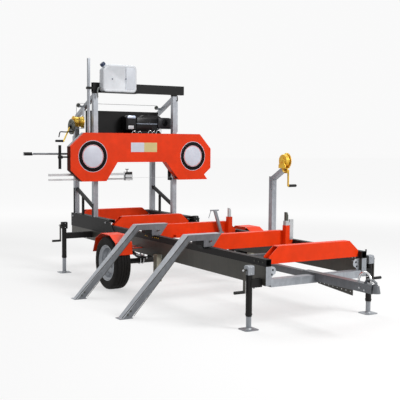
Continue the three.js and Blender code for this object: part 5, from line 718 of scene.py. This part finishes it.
def engine_details():
    outline = rounded((-61, 1768), (86, 1976), (26, 26, 34, 40))
    recoil = pillow(Build(), outline, 3786, 3960, ((24, 0), (10, 3), (3, 10), (0, 22)))
    recoil.make("recoil_shell", GLOSSY, "head", "engine", angle=40)
    # A silver-blue band of painted highlight along the recoil cover's rounded top front
    highlight_band = pillow(Build(), rounded((-46, 1934), (74, 1971), (8, 8, 16, 22)), 3783, 3800, ((5, 0), (2, 1), (0, 4)))
    highlight_band.make("recoil_trim", SILVER_HIGHLIGHT, "head", "engine", angle=40)
    label = pillow(Build(), rounded((-34, 1800), (44, 1842), 6), 3784.6, 3788, ((1, 0), (0, 0.6)))
    label.make("recoil_plate", WHITE, "head", "white_plastic")
    slots = Build()
    for i in range(6):
        slots.slab(rounded((-44, 1856 + i * 12), (70, 1862 + i * 12), 2.4, 3), "y", (3784.5, 3788))
    slots.make("recoil_slots", SOOT, "head", "engine", bevel=0.0006)
    shroud = pillow(Build(), rounded((88, 1772), (398, 1952), (12, 12, 26, 20)), 3791, 3804, ((6, 0), (2, 2), (0, 6)))
    shroud.make("shroud_panel", DARK, "head", "engine", angle=40)
    ribs = Build()
    for i in range(7):
        ribs.slab(rounded((108, 1884 + i * 8), (300, 1887 + i * 8), 1.4, 2), "y", (3788.5, 3792))
    for i in range(8):
        ribs.slab(rounded((314 + i * 9, 1782), (318 + i * 9, 1856), 1.8, 2), "y", (3789, 3792))
    ribs.make("shroud_ribs", SOOT, "head", "engine", bevel=0.0006)
    # A thin light line of painted highlight across the shroud
    line = Build().slab(rounded((90, 1866), (392, 1870), 1.8), "y", (3788, 3792))
    line.make("shroud_highlight_line", SILVER_HIGHLIGHT, "head", "engine")
    fins = Build()
    for i in range(10):
        z = 1752 + i * 14
        fins.box((100, 470), (3806, 3968), (z, z + 5))
    fins.make("cylinder_fins", CAST, "head", "engine", bevel=0.0008)
    outline = rounded((400, 1812), (600, 1954), (22, 30, 30, 22))
    box = pillow(Build(), outline, 3782, 3925, ((16, 0), (6, 3), (2, 8), (0, 16)))
    box.make("filter_box", SOOT, "head", "engine", angle=40)
    knob = Build().turn((511, 3783, 1886), FRONT, [(44, -2), (44, 5), (40, 9), (30, 10), (27, 15), (8, 16), (0, 16)])
    for x, z in around(511, 1886, 35, 6):
        knob.turn((x, 3783, z), FRONT, [(5, 8), (5, 15), (4, 16), (0, 16)], 12)
    knob.make("filter_knob", GLOSSY, "head", "engine")
    cap = Build().turn((215, 3850, 1952), Z, [(30, -4), (30, 14), (27, 18), (10, 20), (0, 20)], 32)
    cap.make("fuel_cap", GLOSSY, "head", "engine")
    tubes = Build()
    for x, wide, tall in ((52, 30, 18), (132, 26, 12), (286, 30, 26), (340, 20, 14), (408, 34, 30)):
        path = [(x - wide, 3790, 1744), (x - wide * 0.6, 3786, 1752 + tall * 0.8), (x, 3784, 1756 + tall)]
        path += [(x + wide * 0.6, 3787, 1750 + tall * 0.5), (x + wide, 3792, 1742)]
        tubes.tube(path, 6.5)
    tubes.make("bright_tubes", CHROME, "head", "steel")


engine_details()


# Jack grips, nuts, collars and welds, then the bolts and welds of the bed


def jack_details():
    bolts = Build()
    grip_profile = ribbed([(12.2, 2), (14.5, 5)], 14.2, 13.2, 12, 9, [(14.8, 94), (13.5, 98.5), (0, 99.5)])
    collar_profile = [(24.6, 2), (25, 0), (28.2, 0), (28.4, 12), (31, 13), (31, 23), (28.4, 25)]
    for end, (x, y, rise) in JACKS.items():
        arm_bottom = 425 if rise else 373
        for side, s in SIDES.items():
            jack, out = f"{end}_{side}", (s, 0, 0)
            screw_z = JACK_BOTTOM + rise + 40.5
            screw_end = s * (x + 57)
            grip = Build().turn((screw_end, y, screw_z - 190), out, grip_profile, 20)
            grip.make(f"{jack}_jack_grip", GRIP, f"{jack}_jack_crank", "black_paint")
            hub = Build().hexagon((screw_end, y, screw_z), out, 9)
            hub.make(f"{jack}_jack_nut", BOLT, f"{jack}_jack_crank", "steel")
            for dy in (-20, 20):
                bolts.hexagon((s * 660, y + dy, arm_bottom), DOWN, 8)
            for dz in (14, 66):
                bolts.hexagon((s * x, y - 33, JACK_BOTTOM + rise + dz), FRONT, 5, 0.4)
            foot = Build().turn((s * x, y, 6), Z, [(24, 0), (31, 0), (26, 6), (24, 10)])
            foot.make(f"{jack}_foot_weld", WELD, f"{jack}_jack_leg", "galvanised")
            collar = Build().turn((s * x, y, 119 + rise), Z, collar_profile)
            collar.make(f"{jack}_jack_collar", BLACK, "bed", "black_paint")
    bolts.make("jack_bolts", BOLT, "bed", "steel")


jack_details()


def bed_bolts():
    bolts, beads = Build(), Build()
    for s in SIDES.values():
        for front in BUNK_FRONTS:
            for dy in (22, 58):
                bolts.hexagon((s * 505, front + dy, 560), DOWN, 8)
            beads.bead((s * 519, front, 519), (s * 519, front + 80, 519))
        for y in (2196, 2614):
            bolts.hexagon((s * 580.5, y, 352), (s, 0, 0), 8)
        for dy in (-34, 34):
            beads.bead((s * 586, 1890 + dy * 1.18, 392), (s * 586, 1890 + dy * 1.18, 430))
        for y in (2327, 2483):
            bolts.hexagon((s * 690, y, 455), Z, 7)
    beads.bead((-524, -45, 442), (-524, 35, 442))
    beads.bead((524, -45, 442), (524, 35, 442))
    for x in (-32, 32):
        beads.bead((x, 1179, 400), (x, 1179, 452))
    bolts.make("bed_bolts", BOLT, "bed", "steel")
    beads.make("bed_welds", WELD, "bed", "galvanised")


bed_bolts()


def front_end_plates():
    """Plates inward of the beams' ends with black discs of painted shade for their holes, end plates, bolts of rails
    and ramps, and painted shadow along the ramps' folds.
    """
    for side, s in SIDES.items():
        plate = Build()
        outline = [(526, 556), (470, 545), (455, 532), (449, 505), (456, 484), (486, 463), (503, 444), (526, 444)]
        plate.slab([(s * x, z) for x, z in outline], "y", (-13, -8.6))
        # The gusset in the lit copy of the zinc: painted light
        plate.make(f"{side}_front_gusset", ZINC_LIT, "bed", "galvanised", bevel=0.001)
        hole_shades = Build()
        # Black discs standing in for the holes: painted shade
        for x, z in ((484, 518), (495, 478)):
            hole_shades.turn((s * x, -13, z), FRONT, [(10, -1), (10, 0.3), (8.5, 0.5), (0, 0.5)], 20)
        hole_shades.make(f"{side}_gusset_hole_shade", BLACK, "bed")
        outline = [(526.5, 388.5), (583.5, 388.5), (583.5, 555.5), (526.5, 555.5)]
        end = Build().slab([(s * x, z) for x, z in outline], "y", (-48.5, -45.3))
        end.turn((s * 555, -48.5, 470), FRONT, [(9, 0), (9, 1.5), (6, 2), (0, 2)], 20)
        end.make(f"{side}_beam_end_plate", ZINC_FINE, "bed", "galvanised", bevel=0.001)
    lug = Build().tube([(584, 0, 592), (600, 0, 588), (612, 0, 592), (619, 0, 604), (620, 0, 632)], 7, 12)
    lug.make("rail_end_lug", BLACK, "bed", "black_paint")
    rows = Build()
    for y in (124, 60, -4):
        rows.hexagon((-585, y, 590), LEFT, 7, 0.4)
    for y in RAMP_FRONTS.values():
        for x, z in ((-555, 671), (-535, 616), (-1438, 40), (-1408, 72)):
            rows.hexagon((x, y, z), FRONT, 9, 0.4)
    rows.make("rail_bolts", SMOKED, "bed", "steel")
    heads = Build()
    for k in range(8):
        heads.hexagon((-585, 1928 + k * 43, 597), LEFT, 5.5, 0.4)
    heads.make("rail_screws", GOLD, "bed", "steel")
    # Two dark strips of painted shadow down each ramp's face, at its folds: along it and across it in X and Z, as low
    # end, high end and the fold's two edges
    along, across = Vector((0.697, 0.717)), Vector((0.717, -0.697))
    for end, y in RAMP_FRONTS.items():
        groove = Build()
        for low, high, start, stop in (((-1518, 6), (-800, 745), 6, 13), ((-1383, 6), (-774, 685), -9, -3)):
            a, b = Vector(low) + along * 14, Vector(high) - along * 8
            corners = [a + across * start, b + across * start, b + across * stop, a + across * stop]
            groove.slab([(p.x, p.y) for p in corners], "y", (y - 1.2, y - 0.4))
        groove.make(f"{end}_ramp_fold_shadow", ZINC_IN_SHADE, "bed", "galvanised")


front_end_plates()


def spring_clamps():
    """U-bolts that hold the springs to the axle."""
    clamps = Build()
    axle_y, half = WHEEL[1], 40
    for s in SIDES.values():
        for dx in (-20, 20):
            x = s * SPRING_X + dx
            turns = [math.pi + math.pi * k / 12 for k in range(13)]
            points = [(x, axle_y - half, 366)]
            points += [(x, axle_y + half * math.cos(a), 292 + 34 * math.sin(a)) for a in turns]
            points += [(x, axle_y + half, 366)]
            clamps.tube(points, 5, 10)
        clamps.box((s * (SPRING_X - 30), s * (SPRING_X + 30)), (axle_y - 50, axle_y + 50), (352, 360))
        for dx in (-20, 20):
            for dy in (-half, half):
                clamps.hexagon((s * SPRING_X + dx, axle_y + dy, 360), Z, 8)
    clamps.make("spring_clamps", BOLT, "bed", "steel", bevel=0.0006)


spring_clamps()


# Water tank: moulded form with its crease and panel, the crease and right panel in painted shade, tilted cap, studs
# and outlet


def tank():
    left, right, low, high, front, back = -522, -56, 2243, 2590, 3497, 3618
    outline = arc((left + 46, low + 46), 46, 180, 270, 8) + arc((right - 58, low + 58), 58, 270, 360, 8)
    outline += arc((right - 54, high - 54), 54, 0, 90, 8)
    outline += arc((left + 84, high - 26), 26, 90, 132, 4) + arc((left + 26, high - 78), 26, 132, 180, 4)
    rims = ((34, 3), (24, 0), (15, 0.6), (8, 3), (3, 8), (0.6, 15), (0, 24))
    body = pillow(Build(), outline, front, back, rims).make("tank_body", WHITE, "carriage", "white_plastic", angle=50)
    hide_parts("water_tank")
    rise = ((9, 0), (5, 0.5), (2, 1.4), (0, 3.2))
    # The crease and the right panel are in the darker copy of the white: painted shade
    crease = Build().tube([(-214, front - 0.4, low + 30 + k * 28.6) for k in range(11)], 2.2, 8)
    crease.make("tank_crease", WHITE_SHADE, "carriage", "white_plastic", angle=50)
    panel = rounded((-203, low + 34), (right - 26, high - 34), (10, 40, 30, 10))
    shaded_panel = pillow(Build(), panel, front - 0.7, front + 12, rise)
    shaded_panel.make("tank_right_panel_shade", WHITE_SHADE, "carriage", "white_plastic", angle=50)
    middle = (front + back) / 2
    seam = Build()
    seam.tube([(x, middle, z) for x, z in outline], 2.4, 8, closed=True)
    seam.make("tank_seam", WHITE, "carriage", "white_plastic")
    tilt = Vector((-0.67, 0, 0.74))
    base = Vector((-479, middle, 2563))
    neck = Build().turn(base, tilt, [(27, -16), (27, 10), (23, 12), (23, 22)], 32)
    neck.make("tank_neck", WHITE, "carriage", "white_plastic")
    cap = Build()
    cap.turn(base, tilt, [(23, 12), (31, 12), (32, 15), (32, 46), (29, 51), (8, 52), (0, 52)], 48)
    across = tilt.orthogonal().normalized()
    other = tilt.cross(across).normalized()
    for a, b in around(0, 0, 32, 24):
        p = base + across * a + other * b
        cap.tube([p + tilt * 16, p + tilt * 44], 1.8, 6)
    cap.make("tank_cap", BLUE, "carriage")
    screws = Build()
    for x, z in ((-395, 2407), (-211, 2415)):
        screws.turn((x, front - 1.4, z), FRONT, [(8, -4), (8, 2), (6, 4), (0, 4.5)], 20)
    screws.make("tank_studs", BLUE, "carriage")
    path = [(-512, 3572, 2286), (-520, 3572, 2297), (-534, 3572, 2301), (-549, 3572, 2296), (-559, 3572, 2280)]
    path += [(-563, 3572, 2258), (-562, 3574, 2228), (-558, 3580, 2186)]
    hose = Build().tube(path, 7.5)
    hose.turn((-558, 3580, 2192), DOWN, [(9, -6), (9, 8), (6, 12), (6, 20), (0, 21)], 16)
    hose.make("tank_outlet", HOSE, "carriage")


tank()


# Lift rope: a fixed stretch over the sheaves and a drop below them


def rope():
    y, z, reach = 3993.3, 2090, 29.2
    left, right = -640, 485
    bends = arc((left, z), reach, 180, 90, 10) + arc((right, z), reach, 90, 0, 10)
    fixed = Build().tube([(left - reach, y, LIFT_DRUM[1])] + [(a, y, b) for a, b in bends], 3)
    fixed_rope = fixed.make("rope_over_sheaves", ROPE, "carriage", "steel", angle=60)
    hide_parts("lift_cable")
    x = right + reach
    steps = 40
    drop = Build().tube([(x, y, z - (z - 1990) * i / steps) for i in range(steps + 1)], 3)
    hanging = drop.make("rope_drop", ROPE, "head", "steel", angle=60)
    # It is taken off the body that make() gave it, and stays where it is built
    hanging.parent = None
    del hanging["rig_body"]
    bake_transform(hanging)
    eye = Build()
    eye.turn((x, y, 1984), Z, [(0, -6), (9, -6), (9, 10), (5, 14), (0, 14)], 20)
    eye.tube([(x, y, 1980), (x, y, 1950)], 5)
    eye.box((x - 14, x + 2), (y - 10, y + 10), (1946, 1952))
    eye.make("rope_end", BOLT, "head", "steel")


rope()


def winches():
    """Barrels, gear faces, hubs and grips of both winches, the lift winch's lever, and the push rod's sleeve."""
    barrel = Build()
    profile = [(40, 3), (67, 4), (65, 12), (63, 30), (63, 51), (42, 53), (42, 65), (63, 67), (63, 96), (65, 112)]
    barrel.turn((-728, *LIFT_DRUM), X, profile + [(67, 117), (40, 118)], 48)
    for y, z in around(*LIFT_DRUM, 52, 6):
        barrel.hexagon((-608, y, z), X, 5, 0.4)
    barrel.make("lift_reel", GOLD, "lift_drum", "steel")
    wraps = Build()
    for k in range(2):
        wraps.turn((-672 + k * 5.6, *LIFT_DRUM), X, [(40, -2.8), (43, -2), (44.5, 0), (43, 2), (40, 2.8)], 40)
    wraps.make("lift_drum_wraps", ROPE, "lift_drum", "steel")
    reel = Build()
    profile = [(28, -43)]
    for k in range(5):
        profile += [(68, -41 + k * 9), (70, -39 + k * 9), (70, -36 + k * 9), (68, -34 + k * 9)]
    reel.turn((636, *LOG_DRUM), X, profile + [(68, 0), (28, 0)], 56)
    reel.make("log_reel", GOLD, "log_winch_drum", "steel")
    web = Build().turn((646.4, *LOG_DRUM), X, [(0, 0), (20, 0), (20, 3), (70, 3), (70, 1), (0, 1)], 56)
    web.make("log_gear_web", GOLD, "log_winch_drum", "steel")
    profile = [(97, 0), (97.5, 9), (95, 12), (86, 13), (81, 9), (44, 8), (38, 11), (0, 11)]
    rim = Build().turn((-754, *LIFT_CRANK), LEFT, profile, 64)
    rim.make("lift_gear_rim", SMOKED, "lift_crank", "steel")
    hub = Build().turn((-754, *LIFT_CRANK), LEFT, [(0, 34), (12, 33), (18, 30), (18, 12), (34, 12), (38, 9)])
    for y, z in around(*LIFT_CRANK, 62, 5):
        hub.hexagon((-762, y, z), LEFT, 6, 0.4)
    hub.make("lift_crank_hub", GRIP, "lift_crank", "black_paint")
    profile = ribbed([(12.2, 0), (15.5, 3)], 15.5, 14.2, 8, 10, [(15.5, 97), (13, 102), (0, 102.5)])
    for name, centre, way in (("lift_crank", (-906, 3850, 1635.6), LEFT), ("log_winch_crank", (680, 1300, 1169.6), X)):
        grip = Build().turn(centre, way, profile, 24)
        grip.make(name + "_grip", GRIP, name, "black_paint")
    path = [(-752, 3920, 1756), (-790, 3905, 1752), (-869, 3872, 1748), (-930, 3854, 1751), (-945, 3850, 1748)]
    lever = Build().tube(path + [(-953, 3850, 1737), (-964, 3850, 1682)], 7)
    lever.make("lift_brake_lever", GRIP, "lift_crank", "black_paint")
    rod = Build().turn((-722, 3737.3, 1477), LEFT, [(6, 0), (11, 0), (12, 2), (12, 620), (10, 630), (6, 630)], 24)
    rod.make("push_rod_sleeve", ZINC_MID, "head", "steel")
    profile = ribbed([(20, 0), (21, 3)], 21, 20.2, 8, 10.5, [(21, 102), (18, 105), (0, 105.5)])
    push = Build().turn((-1355, 3737.3, 1477), LEFT, profile, 28)
    push.make("push_grip", GRIP, "head", "black_paint")


def guide_rollers():
    """Front plate of the sliding guide with its two rollers, clamp screw and lever."""
    plate = Build()
    plate.slab(rounded((-188, 1146), (-82, 1247), (12, 30, 12, 30)), "y", (3571.4, 3574.8))
    plate.make("guide_plate", BLACK, "guide_arm", "black_paint", bevel=0.001)
    rollers = Build()
    for x, z, r in ((-116, 1176, 25), (-158, 1214, 15)):
        profile = [(r * 0.6, 0), (r, 0), (r, 11), (r - 3, 14), (r * 0.45, 14), (r * 0.4, 10), (0, 10)]
        rollers.turn((x, 3571.4, z), FRONT, profile)
    rollers.make("guide_rollers", SMOKED, "guide_arm", "steel")
    screw = Build()
    screw.turn((-150, 3587, 1247), Z, [(0, 0), (8, 0), (8, 16), (5, 18), (5, 34), (0, 34)], 18)
    screw.tube([(-172, 3587, 1284), (-150, 3587, 1280), (-128, 3587, 1284)], 5, 10)
    screw.make("guide_clamp", GRIP, "guide_arm", "steel")


def ramp_blocks():
    for end, y in RAMP_FRONTS.items():
        block = Build()
        outline = [(-700, 683), (-700, 646), (-646, 640), (-628, 602), (-586, 602), (-586, 683)]
        block.slab(outline, "y", (y + 6, y + 92))
        block.make(f"{end}_ramp_block", BLACK, "bed", "black_paint", bevel=WORN_EDGE)


def coupler_hoop():
    path = [(-584, 458), (-588, 486), (-600, 515), (-622, 539), (-650, 552), (-680, 554), (-708, 542), (-727, 520)]
    path += [(-737, 494), (-742, 466), (-744, 455)]
    hoop = Build().tube([(0, y, z) for y, z in path], 10, 14)
    hoop.turn((-15, -744, 455), X, [(0, 0), (17, 0), (19, 3), (19, 27), (17, 30), (0, 30)], 28)
    hoop.make("coupler_hoop", CHROME, "drawbar", "steel")
    pins = Build()
    for y, z in ((-700, 410), (-640, 422)):
        pins.hexagon((-38, y, z), LEFT, 8)
    pins.make("coupler_bolts", BOLT, "drawbar", "steel")


def carriage_details():
    """Welds and hook of the posts, and bolts of the head's sleeves and the soles."""
    beads = Build()
    for s in SIDES.values():
        for y in POST_YS:
            for dx, dy, ex, ey in ((-30, -30, 30, -30), (30, -30, 30, 30), (30, 30, -30, 30), (-30, 30, -30, -30)):
                beads.bead((s * POST_X + dx, y + dy, 687), (s * POST_X + ex, y + ey, 687), 3)
    beads.make("post_welds", WELD, "carriage", "galvanised")
    bolts = Build()
    for s in SIDES.values():
        for z in (1470, 1600, 1680):
            bolts.hexagon((s * 603.5, POST_YS[0], z), (s, 0, 0), 8)
            bolts.hexagon((s * POST_X, 4288.4, z), Y, 8)
    bolts.make("sleeve_bolts", BOLT, "head", "steel")
    path = [(592, 3640, 2246), (602, 3632, 2232), (605, 3624, 2210), (603, 3620, 2184), (594, 3618, 2172)]
    hook = Build().tube(path + [(586, 3618, 2178)], 6.5)
    hook.make("post_hook", BLACK, "carriage", "black_paint")
    sole_bolts = Build()
    for s in SIDES.values():
        for y in (3260, 4280):
            sole_bolts.hexagon((s * 594, y, 649.3), (s, 0, 0), 10)
        for y in (3610, 3690, 4210, 4290):
            sole_bolts.hexagon((s * 555, y, 686), Z, 8)
    sole_bolts.make("sole_bolts", BOLT, "carriage", "steel")


winches()
guide_rollers()
ramp_blocks()
coupler_hoop()
carriage_details()


# Stage, light and camera: sizes in metres, lamps as place, width and watts, strengths where 1 is white
FLOOR_HALF, FLOOR_Z = 60, -0.0006
LAMPS = (((3.5, -7.0, 6.0), 3.5, 540), ((-6.5, -4.0, 4.5), 4.0, 40), ((0.5, 3.5, 7.0), 5.0, 190))
LAMP_AIM = Vector((0, 0, 0.6))
ROOM_LIGHT, ROOM_SHOWN = 0.42, 0.95

# The camera as it was fitted to the photograph: its place in the layout, its turn in radians, and its focal length
CAMERA_PLACE = (-4701, -5721, 1641)
CAMERA_YAW, CAMERA_PITCH, CAMERA_ROLL = 0.545, 0.072, 0.008
FOCAL_PIXELS, PHOTO_PIXELS, SENSOR_MM = 809.39, 400, 36


def stage():
    """Seamless white floor and surround that keep the shadow, under a key lamp from the front right."""
    mesh = bpy.data.meshes.new("floor")
    corners = [(x * FLOOR_HALF, y * FLOOR_HALF, FLOOR_Z) for x, y in ((-1, -1), (1, -1), (1, 1), (-1, 1))]
    mesh.from_pydata([Vector(p) for p in corners], [], [(0, 1, 2, 3)])
    obj = bpy.data.objects.new("floor", mesh)
    bpy.context.scene.collection.objects.link(obj)
    s = Shade("pale_floor")
    far = (s.axis("X") * s.axis("X") + s.axis("Y") * s.axis("Y")).step(9.0, 110.0)
    floor = s.set(
        Base_Color=(0.42, 0.42, 0.42),
        Roughness=0.9,
        Specular_IOR_Level=0.0,
        Emission_Color=s.mix(far, (0.56, 0.56, 0.56), (0.76, 0.76, 0.76)),
        Emission_Strength=seen_rays(s),
    )
    obj.data.materials.append(floor)
    world = bpy.data.worlds.new("studio")
    room = Tree(world)
    lit = room.nodes["Background"]
    room.feed(lit.inputs["Color"], (1, 1, 1))
    room.feed(lit.inputs["Strength"], ROOM_LIGHT)
    shown = room.node("ShaderNodeBackground", {}, {"Color": (1, 1, 1), "Strength": ROOM_SHOWN})
    both = room.node("ShaderNodeMixShader", {}, {0: seen_rays(room), 1: Wire(room, lit.outputs[0]), 2: shown})
    room.feed(room.nodes["World Output"].inputs[0], both)
    bpy.context.scene.world = world
    for place, size, power in LAMPS:
        light = bpy.data.lights.new("softbox", "AREA")
        light.shape = "DISK"
        light.size = size
        light.energy = power
        lamp = bpy.data.objects.new("softbox", light)
        lamp.location = place
        lamp.rotation_mode = "QUATERNION"
        lamp.rotation_quaternion = (LAMP_AIM - Vector(place)).to_track_quat("-Z", "Y")
        bpy.context.scene.collection.objects.link(lamp)


def seen_rays(tree):
    """1 for what the camera, gloss or glass sees, and 0 for what lights the object."""
    rays = ("Is Camera Ray", "Is Glossy Ray", "Is Transmission Ray")
    camera_rays, gloss_rays, glass_rays = (tree.node("ShaderNodeLightPath", {}, {}, ray) for ray in rays)
    return camera_rays.top(gloss_rays).top(glass_rays)


def camera():
    yaw, pitch, roll = CAMERA_YAW, CAMERA_PITCH, CAMERA_ROLL
    forward = Vector((math.sin(yaw) * math.cos(pitch), math.cos(yaw) * math.cos(pitch), -math.sin(pitch)))
    right = forward.cross(Vector(Z)).normalized()
    up = right.cross(forward)
    tilted = right * math.cos(roll) + up * math.sin(roll)
    upright = up * math.cos(roll) - right * math.sin(roll)
    data = bpy.data.cameras.new("camera")
    data.sensor_width = SENSOR_MM
    data.lens = FOCAL_PIXELS * SENSOR_MM / PHOTO_PIXELS
    obj = bpy.data.objects.new("camera", data)
    turn = Matrix((tilted, upright, -forward)).transposed()
    obj.matrix_world = Matrix.Translation(at(*CAMERA_PLACE)) @ turn.to_4x4()
    data.clip_end = 200
    bpy.context.scene.collection.objects.link(obj)
    bpy.context.scene.camera = obj


stage()
camera()
bpy.context.scene.view_settings.view_transform = "Standard"
